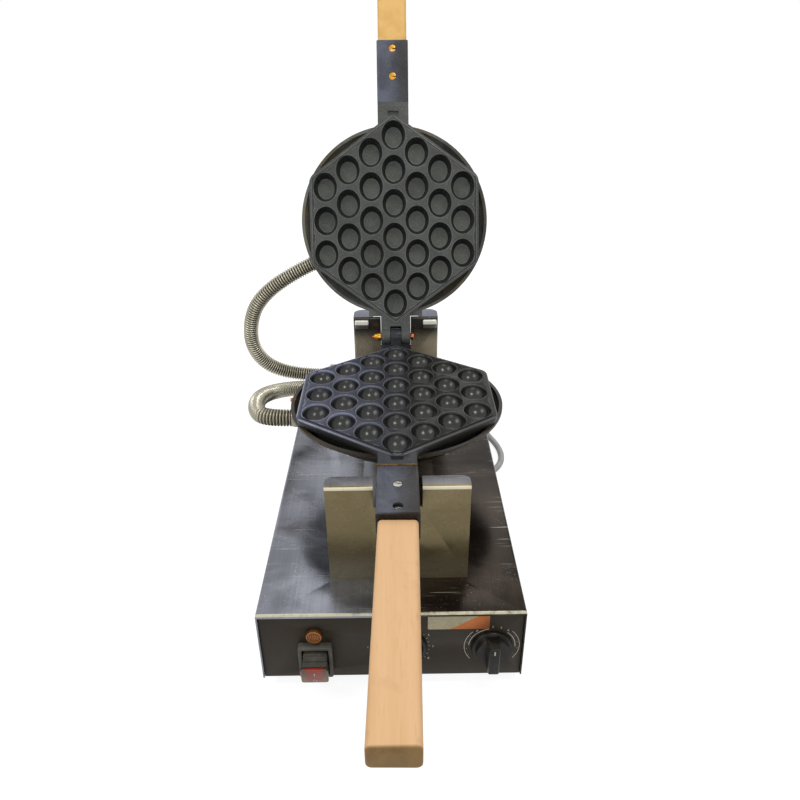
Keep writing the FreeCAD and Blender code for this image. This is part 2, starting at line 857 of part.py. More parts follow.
def shaft(x, z, out, inside, gap):
    """A round shaft with a flat on its outer end."""
    radius = shaft_radius + gap
    face = front(sheet + fit_gap) - knob_panel_gap
    start = Vector(x, face - out, z)
    solid = rod(start, Vector(x, face + inside, z) if inside else Vector(x, face, z), radius)
    flat = box(x - radius * 2.0, x + radius * 2.0, face - out - overrun, face - seat_gap,
               z + radius - shaft_flat, z + radius * 2.0)
    return solid.cut(flat)


def control_body(x, z, body, length):
    """A control behind the panel: its case, a bushing through the panel and a bore for the shaft."""
    inner_face = sheet + fit_gap + panel_thickness
    bushing = rod(Vector(x, front(sheet + fit_gap) - knob_panel_gap * 0.4, z),
                  Vector(x, front(inner_face) + overrun, z), bushing_radius)
    bore = rod(Vector(x, front(0) - overrun * 3.0, z), Vector(x, front(inner_face + length * 0.6), z),
               shaft_radius + knob_bore_gap)
    return body.fuse(bushing).removeSplitter().cut(bore)


def make_thermostat_body():
    start = front(sheet + fit_gap + panel_thickness) + seat_gap
    case = rod(Vector(temperature_x, start, temperature_z),
               Vector(temperature_x, start + thermostat_length, temperature_z), thermostat_radius)
    return control_body(temperature_x, temperature_z, case, thermostat_length)


def make_timer_body():
    start = front(sheet + fit_gap + panel_thickness) + seat_gap
    half = timer_side / 2.0
    case = soft_box(timer_x - half, timer_x + half, start, start + timer_length, timer_z - half,
                    timer_z + half,
                    timer_corner, "y")
    return control_body(timer_x, timer_z, case, timer_length)


def make_shaft(x, z, length):
    reach = panel_thickness + knob_panel_gap + length * 0.5
    return shaft(x, z, knob_bar_height - sheet * 2.0 - seat_gap, reach, 0)


def make_label():
    y = front(sheet + fit_gap)
    return box(label_x - label_width / 2.0, label_x + label_width / 2.0, y - label_thickness, y,
               label_z - label_height / 2.0, label_z + label_height / 2.0)


def make_terminal_block():
    base = press_depth + sheet + seat_gap
    half = terminal_width / 2.0
    y = front(terminal_place)
    block = box(-half, half, y, y + terminal_depth, base, base + terminal_height)
    way = terminal_width / terminal_ways
    wells = []
    for index in range(terminal_ways):
        x = -half + way * (index + 0.5)
        for share in (0.28, 0.72):
            wells.append(rod(Vector(x, y + terminal_depth * share, base + terminal_height * 0.4),
                             Vector(x, y + terminal_depth * share, base + terminal_height + overrun),
                             way * 0.3))
    return block.cut(group(wells))


def pan_local(shape):
    """Puts a piece made in the pan's frame onto the lower half."""
    shape.translate(Vector(pan_x, front(pan_place), pan_face_height))
    return shape


def lid_local(shape):
    """Mirrors a piece made in the pan's frame to the upper half and swings it open."""
    lid = shape.mirror(Vector(0, 0, 0), Vector(0, 0, 1))
    lid.translate(Vector(pan_x, front(pan_place), pan_face_height + closing_gap))
    lid.rotate(Vector(pan_x, front(hinge_place), hinge_height), Vector(1, 0, 0), lid_swing)
    return lid


def hex_slab(inset, top, bottom, corner):
    """The six sided outline, drawn in by inset, between two depths."""
    slope = math.atan2(hex_half_length - hex_side_half, hex_half_width)
    end = hex_half_length - inset / math.cos(slope)
    half = hex_half_width - inset
    side = end - half * math.tan(slope)
    points = [(0, end, 0), (half, side, 0), (half, -side, 0), (0, -end, 0), (-half, -side, 0),
              (-half, side, 0)]
    slab = polygon_face(points).extrude(Vector(0, 0, bottom - top))
    slab.translate(Vector(0, 0, -bottom))
    uprights = [edge for edge in slab.Edges
                if edge.BoundBox.ZLength > edge.BoundBox.XLength + edge.BoundBox.YLength
                and abs(edge.BoundBox.Center.x) > half / 2.0]
    return slab.makeFillet(corner, uprights)


def pocket_reach():
    """How far the longest column of pockets reaches from the middle."""
    return (max(pocket_column_counts) - 1) / 2.0 * pocket_pitch + pocket_half_length


def pocket_centres():
    centres = []
    middle = (len(pocket_column_counts) - 1) / 2.0
    for column, count in enumerate(pocket_column_counts):
        for row in range(count):
            centres.append(Vector((column - middle) * column_pitch,
                                  (row - (count - 1) / 2.0) * pocket_pitch, 0))
    return centres


def bowl():
    """A rounded oval pocket."""
    ball = Part.makeSphere(1.0)
    scale = Matrix()
    scale.scale(pocket_half_width, pocket_half_length, pocket_depth)
    return ball.transformGeometry(scale)


def cup():
    """An oval pocket with a flat floor and two bands of wall."""
    levels = ((1.0, -overrun), (1.0, 0), (cup_waist_share, pocket_depth * cup_waist_depth_share),
              (cup_floor_share, pocket_depth))
    rings = []
    for share, depth in levels:
        oval = Part.Ellipse(Vector(0, pocket_half_length * share, -depth),
                            Vector(pocket_half_width * share, 0, -depth),
                            Vector(0, 0, -depth))
        rings.append(Part.Wire([oval.toShape()]))
    return Part.makeLoft(rings, True, True)


def pan_plate(pocket):
    """The cast plate without its hinge parts: face, border, skirt, pad and front neck."""
    face = hex_slab(border_width, 0, border_drop, hex_corner - border_width)
    skirt = hex_slab(0, border_drop, skirt_depth, hex_corner)
    pad = hex_slab(pad_inset, skirt_depth, pad_depth, hex_corner)
    round_pad = cone(Vector(0, 0, -pad_depth), Vector(0, 0, -skirt_depth), pad_radius - pad_cone,
                     pad_radius)
    pad = pad.common(round_pad)
    half = neck_width / 2.0
    neck = box(-half, half, -neck_end, -hex_side_half, -skirt_depth, -border_drop)
    bulge_end = pocket_reach()
    bulges = []
    for side in (-1, 1):
        low = min(side * bulge_end, side * hex_side_half)
        high = max(side * bulge_end, side * hex_side_half)
        bulges.append(box(-pocket_half_width, pocket_half_width, low, high, -pad_depth, -skirt_depth))
    solid = skirt.fuse([face, pad, neck] + bulges).removeSplitter()
    cutters = []
    for centre in pocket_centres():
        item = pocket.copy()
        item.translate(centre)
        cutters.append(item)
    holes = []
    for point in plate_screw_points():
        holes.append(rod(Vector(point.x, point.y, -pad_depth - overrun),
                         Vector(point.x, point.y, -skirt_depth * 0.6),
                         plate_screw[2] + seat_gap))
    return solid.cut(cutters).cut(group(holes))


def plate_screw_points():
    angle = math.radians(plate_screw_angle)
    across = plate_screw_radius * math.cos(angle)
    along = plate_screw_radius * math.sin(angle)
    return [Vector(side * across, end * along, 0) for side in (-1, 1) for end in (-1, 1)]


def barrel(x0, x1, axis_z, radius):
    return rod(Vector(x0, hinge_reach, axis_z), Vector(x1, hinge_reach, axis_z), radius)


def make_lower_plate():
    solid = pan_plate(bowl())
    half = neck_width / 2.0
    neck_stop = hinge_reach - barrel_radius - barrel_gap
    neck = box(-half, half, hex_side_half, neck_stop, -skirt_depth, -border_drop)
    neck = neck.cut(hex_slab(0, -overrun, skirt_depth + overrun, hex_corner))
    lug_half = lug_width / 2.0
    arm = box(-lug_half, lug_half, neck_stop - overrun, hinge_reach + barrel_radius, -skirt_depth,
              hinge_rise)
    knuckle = barrel(-lug_half, lug_half, hinge_rise, barrel_radius)
    tab = box(-tab_width / 2.0, tab_width / 2.0, -tab_place - tab_length / 2.0,
              -tab_place + tab_length / 2.0,
              -border_drop, tab_height - border_drop)
    solid = solid.fuse([neck, arm, knuckle, tab]).removeSplitter()
    bore = barrel(-lug_half - overrun, lug_half + overrun, hinge_rise, pin_radius + pin_gap)
    return pan_local(solid.cut(bore))


def make_upper_plate():
    solid = pan_plate(cup())
    half = neck_width / 2.0
    axis = -(hinge_rise - closing_gap)
    neck = box(-half, half, hex_side_half, hinge_reach, -skirt_depth - border_drop, -border_drop)
    neck = neck.cut(hex_slab(0, -overrun, skirt_depth * 2.0, hex_corner))
    knuckle = barrel(-half, half, axis, barrel_radius)
    solid = solid.fuse([neck, knuckle]).removeSplitter()
    slot_half = lug_width / 2.0 + lug_side_gap
    slot = box(-slot_half, slot_half, hinge_reach - barrel_radius - barrel_gap * 3.0,
               hinge_reach + barrel_radius + overrun, -barrel_radius * 3.0, barrel_radius * 2.0)
    bore = barrel(-half - overrun, half + overrun, axis, pin_radius + seat_gap * 0.2)
    socket_x = tab_width / 2.0 + tab_gap
    socket_y = tab_length / 2.0 + tab_gap
    socket = box(-socket_x, socket_x, -tab_place - socket_y, -tab_place + socket_y,
                 -border_drop - tab_height - tab_gap, overrun)
    return lid_local(solid.cut(slot).cut(bore).cut(socket))


def dish_profile(grow, top):
    """The housing's outline from its rim to its floor, drawn in by a wall."""
    rim = dish_radius - grow
    floor = dish_floor_radius - grow
    low = dish_depth - grow
    points = [(0, 0, -top), (rim, 0, -top), (rim, 0, -rest_depth), (floor, 0, -low), (0, 0, -low)]
    face = polygon_face(points)
    return face.revolve(Vector(0, 0, 0), Vector(0, 0, 1), 360)


def pan_housing(rear, exit_angle, screw_depths):
    """The dished casting behind a plate, with its handle block in front and a neck behind."""
    dish = dish_profile(0, dish_top)
    half = block_width / 2.0
    block = soft_box(-half, half, -block_end, -neck_end - seat_gap, -block_depth - border_drop,
                     -border_drop,
                     block_edge, "y")
    arm = box(-half, half, -neck_end - block_edge * 2.0, -dish_floor_radius, -block_depth - border_drop,
              -dish_top)
    chord = box(-chord_width / 2.0, chord_width / 2.0, hex_side_half, chord_reach, -rest_depth, -dish_top)
    exit_boss = fitting_boss(exit_angle)
    solid = dish.fuse([block, arm, chord, exit_boss] + rear).removeSplitter()
    hollow = dish_profile(dish_wall, dish_top - overrun)
    cavity_half = pocket_half_width + seat_gap
    cavity_end = pocket_reach() + seat_gap
    cavity = box(-cavity_half, cavity_half, -cavity_end, cavity_end, -pad_depth - seat_gap,
                 -dish_top + overrun)
    socket_half = tang_width / 2.0 + tang_gap
    grip_middle = -border_drop - grip_drop - grip_depth / 2.0
    socket = box(-socket_half, socket_half, -block_end - overrun, -block_end + tang_length + grip_gap,
                 grip_middle - tang_depth / 2.0 - tang_gap, grip_middle + tang_depth / 2.0 + tang_gap)
    holes = [rod(Vector(0, -place, grip_middle), Vector(0, -place, overrun), grip_screw[2] + seat_gap)
             for place in grip_screw_places]
    holes += [rod(Vector(0, -place, -border_drop - depth), Vector(0, -place, overrun),
                  grip_screw[0] + seat_gap * 3.0) for place, depth in zip(grip_screw_places, screw_depths)]
    bosses = []
    for point in plate_screw_points():
        bosses.append(rod(Vector(point.x, point.y, -dish_depth),
                          Vector(point.x, point.y, -pad_depth - seat_gap),
                          boss_radius))
    holes += [rod(Vector(point.x, point.y, -dish_depth - overrun), Vector(point.x, point.y, 0),
                  plate_screw[2] + seat_gap) for point in plate_screw_points()]
    shell = solid.cut([hollow, cavity])
    pillars = group(bosses).common(dish)
    shell = shell.fuse(pillars.Solids).removeSplitter()
    heads = [rod(Vector(point.x, point.y, -dish_depth * 2.0),
                 Vector(point.x, point.y, -pad_depth - seat_gap - plate_screw[3] * 0.3),
                 plate_screw[0] + seat_gap * 2.0) for point in plate_screw_points()]
    passage = conduit_passage(exit_angle)
    return shell.cut([socket, passage] + holes + heads)


def exit_way(angle):
    turn = math.radians(180.0 - angle)
    return Vector(math.cos(turn), math.sin(turn), 0)


def fitting_boss(angle):
    way = exit_way(angle)
    low = Vector(0, 0, -fitting_depth)
    return rod(low + way * (dish_floor_radius * 0.8), low + way * fitting_root, boss_outlet_radius)


def conduit_passage(angle):
    way = exit_way(angle)
    low = Vector(0, 0, -fitting_depth)
    return rod(low + way * (dish_floor_radius * 0.5), low + way * (fitting_root + overrun), conduit_bore)


def rim_way():
    angle = math.radians(rim_screw_angle)
    return Vector(math.cos(angle), math.sin(angle), 0)


def rim_seat():
    """Where the screw in the rim's edge has its head's underside."""
    return Vector(0, 0, -(dish_top + rest_depth) / 2.0) + rim_way() * dish_radius


def lower_rear():
    """The tongue that lies in the rear support's notch below the hinge, and its heel behind it."""
    half = neck_width / 2.0
    step = hinge_reach - barrel_radius - barrel_gap * 2.0
    root = box(-half, half, dish_floor_radius, step, -block_depth - border_drop, -dish_top)
    tongue = box(-half, half, step - overrun, tongue_end, -block_depth - border_drop, -tongue_top)
    heel = box(-half, half, hinge_reach + barrel_radius + heel_gap, tongue_end, -tongue_top - overrun,
               heel_rise)
    return [root, tongue, heel]


def upper_rear():
    half = neck_width / 2.0
    depth = skirt_depth + border_drop + seat_gap
    return [box(-half, half, dish_floor_radius, upper_neck_end, -block_depth * 0.75, -depth)]


def make_lower_housing():
    solid = pan_housing(lower_rear(), lower_exit_angle, lower_screw_depths)
    hole = rod(rim_seat() - rim_way() * rim_screw[3] * 2.0, rim_seat() + rim_way() * overrun,
               rim_screw[2] + seat_gap)
    return pan_local(solid.cut(hole))


def make_upper_housing():
    solid = pan_housing(upper_rear(), upper_exit_angle, upper_screw_depths)
    half = neck_width / 2.0 + fit_gap
    neck_space = box(-half, half, hex_side_half, upper_neck_end + overrun,
                     -skirt_depth - border_drop - seat_gap, 0)
    return lid_local(solid.cut(neck_space))


def heater():
    """A tube bent into an open ring, with two straight tails."""
    z = -pad_depth - seat_gap - heater_tube
    gap = math.radians(heater_gap_angle / 2.0)
    start = Vector(-heater_radius * math.cos(gap), heater_radius * math.sin(gap), z)
    end = Vector(-heater_radius * math.cos(gap), -heater_radius * math.sin(gap), z)
    far = Vector(heater_radius, 0, z)
    ring_edge = Part.Arc(start, far, end).toShape()
    pipe = Part.Wire([ring_edge]).makePipeShell(
        [Part.Wire([Part.makeCircle(heater_tube, start, ring_edge.tangentAt(ring_edge.FirstParameter))])],
        True, False)
    return pipe


def heater_pins():
    """The two ends of the heater's tube are capped by ceramic beads with a pin."""
    z = -pad_depth - seat_gap - heater_tube
    gap = math.radians(heater_gap_angle / 2.0)
    pins = []
    for side in (-1, 1):
        start = Vector(-heater_radius * math.cos(gap), side * heater_radius * math.sin(gap), z)
        way = Vector(-math.sin(gap), -side * math.cos(gap), 0)
        pins.append(rod(start, start + way * heater_tail * 0.8, heater_tube * 0.6))
    return pins


def insulation():
    low = -dish_depth + dish_wall + closing_gap
    return rod(Vector(0, 0, low), Vector(0, 0, low + insulation_depth), insulation_radius)


def sensor_bulb():
    z = -pad_depth - seat_gap - bulb_radius
    return rod(Vector(-bulb_length / 2.0, bulb_place, z), Vector(bulb_length / 2.0, bulb_place, z),
               bulb_radius)


def plate_screws():
    base = -pad_depth - seat_gap - plate_screw[3] * 0.3
    return group([screw(plate_screw, Vector(point.x, point.y, base), Vector(0, 0, 1))
                  for point in plate_screw_points()])


def grip(yaw):
    """A wooden bar with rounded edges and a tang that is screwed into the block."""
    half = grip_width / 2.0
    top = -border_drop - grip_drop
    start = -block_end - grip_gap
    bar = soft_box(-half, half, start - grip_length, start, top - grip_depth, top, grip_edge, "y")
    bar.rotate(Vector(0, start, 0), Vector(0, 0, 1), yaw)
    middle = top - grip_depth / 2.0
    tang = box(-tang_width / 2.0, tang_width / 2.0, start - overrun, -block_end + tang_length,
               middle - tang_depth / 2.0, middle + tang_depth / 2.0)
    solid = bar.fuse(tang).removeSplitter()
    holes = [rod(Vector(0, -place, middle - tang_depth), Vector(0, -place, middle + tang_depth),
                 grip_screw[2] + seat_gap * 0.5) for place in grip_screw_places]
    return solid.cut(group(holes))


def grip_screws(screw_depths):
    return group([screw(grip_screw, Vector(0, -place, -border_drop - depth), Vector(0, 0, -1))
                  for place, depth in zip(grip_screw_places, screw_depths)])


def rim_fastener():
    """A small screw in the edge of the housing's rim."""
    return screw(rim_screw, rim_seat(), rim_way() * (-1.0))


def fitting(angle):
    """A hexagonal nut and collar that hold the conduit's end on the housing's boss."""
    way = exit_way(angle)
    root = Vector(0, 0, -fitting_depth) + way * (fitting_root + seat_gap)
    hexagon = [Vector(fitting_radius * math.cos(math.radians(60.0 * index)),
                      fitting_radius * math.sin(math.radians(60.0 * index)), 0) for index in range(6)]
    nut = Part.Face(Part.makePolygon(hexagon + [hexagon[0]])).extrude(Vector(0, 0, fitting_length * 0.6))
    nut.Placement = FreeCAD.Placement(root, Rotation(Vector(0, 0, 1), way))
    collar = cone(root + way * (fitting_length * 0.6 - seat_gap), root + way * fitting_length,
                  fitting_radius * 0.85, conduit_crest)
    bore = rod(root - way * overrun, root + way * (fitting_length + overrun), conduit_bore)
    return nut.fuse(collar).removeSplitter().cut(bore)


def fitting_end(angle):
    return Vector(0, 0, -fitting_depth) + exit_way(angle) * (fitting_root + seat_gap + fitting_length)


def fitting_end_lower():
    point = fitting_end(lower_exit_angle)
    return point + Vector(pan_x, front(pan_place), pan_face_height)


def fitting_end_upper():
    point = fitting_end(upper_exit_angle)
    return lid_point(pan_x + point.x, hinge_reach - point.y, -point.z)


def elbow_way(turn, rise):
    """The way an elbow's branch looks: to the left, turned to the front and raised."""
    turn = math.radians(turn)
    rise = math.radians(rise)
    return Vector(-math.cos(turn) * math.cos(rise), -math.sin(turn) * math.cos(rise), math.sin(rise))


def elbow(place, turn, rise):
    """An angled fitting: a thread into the cover, a stem, a corner and a nut for the conduit."""
    x, depth, z = place
    y = front(depth)
    corner = Vector(x, y, z)
    low = Vector(x, y, support_z - elbow_thread)
    way = elbow_way(turn, rise)
    mouth = elbow_mouth(place, turn, rise)
    stem = rod(low, corner, elbow_radius)
    ball = Part.makeSphere(elbow_radius, corner)
    branch = rod(corner, corner + way * (elbow_radius + overrun), elbow_radius)
    nut = rod(corner + way * elbow_radius, mouth, elbow_nut_radius)
    collar = rod(Vector(x, y, support_z + seat_gap), Vector(x, y, support_z + elbow_collar_height),
                 elbow_collar_radius)
    bore_up = rod(low - Vector(0, 0, overrun), corner, conduit_bore)
    bore_out = rod(corner, mouth + way * overrun, conduit_bore)
    turn_bore = Part.makeSphere(conduit_bore, corner)
    solid = stem.fuse([ball, branch, nut, collar]).removeSplitter()
    return solid.cut([bore_up, bore_out, turn_bore])


def elbow_mouth(place, turn, rise):
    x, depth, z = place
    return Vector(x, front(depth), z) + elbow_way(turn, rise) * (elbow_radius + elbow_nut_length)


def conduit_route(start, way, exit_run, points, mouth, mouth_way, label):
    """From the fitting's end straight out, through the hand set points, into the elbow's mouth."""
    chain = [start, start + way * exit_run]
    chain += [Vector(x, front(depth), z) for x, depth, z in points]
    chain += [mouth + mouth_way * elbow_run, mouth]
    return rounded_edges([tuple(point) for point in chain], label)


def lid_direction(way):
    """Turns a direction in the pan's frame into the open lid's."""
    origin = lid_point(0, 0, 0)
    return lid_point(way.x, -way.y, 0).sub(origin)


def make_lower_conduit():
    mouth = elbow_mouth(lower_elbow, lower_elbow_turn, lower_elbow_rise)
    edges = conduit_route(fitting_end_lower(), exit_way(lower_exit_angle), lower_exit_run,
                          lower_conduit_way, mouth,
                          elbow_way(lower_elbow_turn, lower_elbow_rise), "lower conduit")
    return ribbed_hose(edges, Vector(0, 0, 1))


def make_upper_conduit():
    mouth = elbow_mouth(upper_elbow, upper_elbow_turn, upper_elbow_rise)
    edges = conduit_route(fitting_end_upper(), lid_direction(exit_way(upper_exit_angle)), upper_exit_run,
                          upper_conduit_way, mouth, elbow_way(upper_elbow_turn, upper_elbow_rise),
                          "upper conduit")
    return ribbed_hose(edges, Vector(0, 1, 0))


def hinge_axis():
    return Vector(pan_x, front(hinge_place), hinge_height)


def make_hinge_pin():
    """A bolt from the right, through the fork and the lug, with a thin tip past its nut."""
    half = neck_width / 2.0
    axis = hinge_axis()
    right = Vector(1, 0, 0)
    head = rod(axis + right * (half + seat_gap), axis + right * (half + pin_head_height), pin_head_radius)
    shank = rod(axis - right * (half + nut_height + nut_dome), axis + right * (half + seat_gap), pin_radius)
    tip_start = axis - right * (half + nut_height + nut_dome)
    tip = rod(tip_start - right * pin_tip, tip_start, pin_tip_radius)
    return head.fuse([shank, tip]).removeSplitter()


def make_hinge_nut():
    half = neck_width / 2.0
    axis = hinge_axis()
    left = Vector(-1, 0, 0)
    start = axis + left * (half + seat_gap)
    body = rod(start, start + left * nut_height, nut_radius)
    dome = cone(start + left * nut_height, start + left * (nut_height + nut_dome - seat_gap),
                nut_radius * 0.9,
                pin_radius + overrun)
    bore = rod(axis, axis + left * (half + nut_height + nut_dome + overrun), pin_radius + pin_gap)
    return body.fuse(dome).removeSplitter().cut(bore)


def make_cord_gland():
    """A nut on the rear panel and a tapered, softly ringed sleeve round the cord."""
    face = Vector(gland_x, front(base_depth - sheet - fit_gap), gland_z)
    back = Vector(0, 1, 0)
    root = rod(face + back * seat_gap, face + back * gland_nut_height, gland_nut_radius)
    inside = rod(face - back * (panel_thickness + gland_nut_height), face + back * seat_gap,
                 gland_tip_radius)
    sleeve = cone(face + back * gland_nut_height, face + back * (gland_nut_height + gland_length),
                  gland_nut_radius * 0.7, gland_tip_radius)
    return root.fuse([inside, sleeve]).removeSplitter()


def cord_start():
    return Vector(gland_x, front(base_depth - sheet - fit_gap) + gland_nut_height + gland_length, gland_z)


def coil_entry():
    """Where the coil takes the cord over, at the coil's right side, running to the back."""
    return Vector(coil_x + coil_radius, front(coil_place), table_z + cord_radius + cord_lie)


def make_power_cord():
    points = [cord_start()] + [Vector(x, front(depth), z) for x, depth, z in cord_way]
    points.append(coil_entry())
    return tube(rounded_edges([tuple(point) for point in points], "power cord"), cord_radius)


def coil_nodes():
    """Points and directions every quarter turn: in along the lower layer, out along the upper one."""
    base = table_z + cord_radius + cord_lie
    quarters = coil_turns_each_way * 4
    nodes = []
    for index in range(quarters * 2 + 1):
        angle = math.radians(90.0 * index)
        inward = min(index, quarters * 2 - index)
        radius = coil_radius - coil_step * inward / 4.0
        climb = min(max((index - quarters + 1) / 2.0, 0.0), 1.0)
        slope = -coil_step / (2.0 * math.pi) if index < quarters else coil_step / (2.0 * math.pi)
        if index == quarters:
            slope = 0.0
        lift = coil_rise * 0.5 / (math.pi / 2.0) if index == quarters else 0.0
        radial = Vector(math.cos(angle), math.sin(angle), 0)
        around = Vector(-math.sin(angle), math.cos(angle), 0)
        point = Vector(coil_x, front(coil_place), base + coil_rise * climb) + radial * radius
        way = (around * radius + radial * slope + Vector(0, 0, lift)).normalize()
        if index in (0, quarters * 2):
            way = Vector(0, 1, 0)
        nodes.append((point, way))
    return nodes


def biarc_edges(nodes):
    """Two arcs between each pair of nodes, tangent all along."""
    edges = []
    for (start, way_in), (end, way_out) in zip(nodes, nodes[1:]):
        chord = end.sub(start)
        both = way_in.add(way_out)
        spread = 2.0 * (1.0 - way_in.dot(way_out))
        reach = chord.dot(both)
        if spread < 1e-9:
            length = chord.dot(chord) / (4.0 * chord.dot(way_out))
        else:
            length = (-reach + math.sqrt(reach ** 2 + spread * chord.dot(chord))) / spread
        joint = (start.add(end).add(way_in.sub(way_out) * length)) * 0.5
        edges.append(arc_edge(start, way_in, joint))
        edges.append(arc_edge(end, way_out * (-1.0), joint))
    return edges


def coil_gap(nodes):
    """The least gap between the coil's turns, measured on points a quarter turn or more apart."""
    points = []
    for edge in biarc_edges(nodes):
        points += edge.discretize(12)[:-1]
    apart = 30
    least = min((points[one].sub(points[two])).Length for one in range(len(points))
                for two in range(one + apart, len(points)))
    return least - 2.0 * cord_radius


def make_cord_coil():
    nodes = coil_nodes()
    print("coil least gap", round(coil_gap(nodes), 2))
    end, way = nodes[-1]
    tail = Part.LineSegment(end, end + way * coil_tail).toShape()
    ordered = Part.__sortEdges__(biarc_edges(nodes) + [tail])
    print("coil length", round(sum(edge.Length for edge in ordered), 1))
    wire = Part.Wire(ordered)
    start = nodes[0]
    ring = Part.Wire([Part.makeCircle(cord_radius, start[0], start[1])])
    return wire.makePipeShell([ring], True, False)


def coil_exit():
    end, way = coil_nodes()[-1]
    return end + way * coil_tail


def make_plug():
    """A moulded plug on top of the coil's end, lying along the cord's way."""
    start = coil_exit()
    back = Vector(0, 1, 0)
    neck = cone(start, start + back * plug_neck_length, cord_radius + plug_neck_wall,
                plug_neck_radius)
    y = start.y + plug_neck_length
    half = plug_width / 2.0
    high = plug_height / 2.0
    body = soft_box(start.x - half, start.x + half, y, y + plug_length, start.z - high, start.z + high,
                    plug_corner, "y")
    return neck.fuse(body).removeSplitter()


def make_plug_pins():
    start = coil_exit() + Vector(0, plug_neck_length + plug_length, 0)
    pins = []
    for side in (-1, 1):
        root = start + Vector(side * plug_pin_spread / 2.0, seat_gap, 0)
        pins.append(rod(root, root + Vector(0, plug_pin_length, 0), plug_pin_radius))
    return group(pins)


def make_cord_tie():
    """A strap round all the turns at the coil's left side."""
    inner = coil_radius - coil_step * (coil_turns_each_way - 0.5) - cord_radius - tie_gap
    outer = coil_radius - coil_step * 0.5 + cord_radius + tie_gap
    low = table_z + cord_lie
    high = table_z + cord_lie + coil_rise + cord_radius * 2.0 + tie_gap
    y = front(coil_place)
    half = tie_width / 2.0
    x = coil_x
    whole = box(x - outer - tie_thickness, x - inner + tie_thickness, y - half, y + half, low,
                high + tie_thickness)
    space = box(x - outer, x - inner, y - half - overrun, y + half + overrun, low - overrun, high)
    return whole.cut(space)


pieces = {
    "top_cover": make_top_cover,
    "bottom_plate": make_bottom_plate,
    "front_panel": make_front_panel,
    "rear_panel": make_rear_panel,
    "rubber_feet": make_feet,
    "foot_screws": make_foot_screws,
    "cover_screws": make_cover_screws,
    "front_support": make_front_support,
    "rear_support": make_rear_support,
    "support_screws": make_support_screws,
    "lamp_body": make_lamp_body,
    "lamp_lens": make_lamp_lens,
    "switch_frame": make_switch_frame,
    "switch_body": make_switch_body,
    "switch_pivot": make_switch_pivot,
    "switch_boot": make_switch_boot,
    "switch_rocker": make_switch_rocker,
    "temperature_knob": lambda: knob(temperature_x, temperature_z, temperature_skirt_radius),
    "temperature_shaft": lambda: make_shaft(temperature_x, temperature_z, thermostat_length),
    "thermostat_body": make_thermostat_body,
    "timer_knob": lambda: knob(timer_x, timer_z, timer_skirt_radius),
    "timer_shaft": lambda: make_shaft(timer_x, timer_z, timer_length),
    "timer_body": make_timer_body,
    "front_label": make_label,
    "terminal_block": make_terminal_block,
    "lower_plate": make_lower_plate,
    "lower_housing": make_lower_housing,
    "lower_heater": lambda: pan_local(heater()),
    "lower_heater_pins": lambda: pan_local(group(heater_pins())),
    "lower_insulation": lambda: pan_local(insulation()),
    "lower_plate_screws": lambda: pan_local(plate_screws()),
    "lower_grip": lambda: pan_local(grip(lower_grip_yaw)),
    "lower_grip_screws": lambda: pan_local(grip_screws(lower_screw_depths)),
    "lower_fitting": lambda: pan_local(fitting(lower_exit_angle)),
    "sensor_bulb": lambda: pan_local(sensor_bulb()),
    "rim_screw": lambda: pan_local(rim_fastener()),
    "upper_plate": make_upper_plate,
    "upper_housing": make_upper_housing,
    "upper_heater": lambda: lid_local(heater()),
    "upper_heater_pins": lambda: lid_local(group(heater_pins())),
    "upper_insulation": lambda: lid_local(insulation()),
    "upper_plate_screws": lambda: lid_local(plate_screws()),
    "upper_grip": lambda: lid_local(grip(upper_grip_yaw)),
    "upper_grip_screws": lambda: lid_local(grip_screws(upper_screw_depths)),
    "upper_fitting": lambda: lid_local(fitting(upper_exit_angle)),
    "hinge_pin": make_hinge_pin,
    "hinge_nut": make_hinge_nut,
    "lower_elbow": lambda: elbow(lower_elbow, lower_elbow_turn, lower_elbow_rise),
    "upper_elbow": lambda: elbow(upper_elbow, upper_elbow_turn, upper_elbow_rise),
    "lower_conduit": make_lower_conduit,
    "upper_conduit": make_upper_conduit,
    "cord_gland": make_cord_gland,
    "power_cord": make_power_cord,
    "cord_coil": make_cord_coil,
    "cord_tie": make_cord_tie,
    "plug": make_plug,
    "plug_pins": make_plug_pins,
}

os.makedirs("parts", exist_ok=True)
for name, make in pieces.items():
    shape = make()
    box_of = shape.BoundBox
    print(name, len(shape.Solids), round(shape.Volume), shape.isValid(),
          [round(value, 1) for value in (box_of.XMin, box_of.XMax, box_of.YMin, box_of.YMax, box_of.ZMin,
                                         box_of.ZMax)])
    shape.exportStep("parts/" + name + ".step")
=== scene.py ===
import bpy
import json
import math
from mathutils import Matrix, Vector

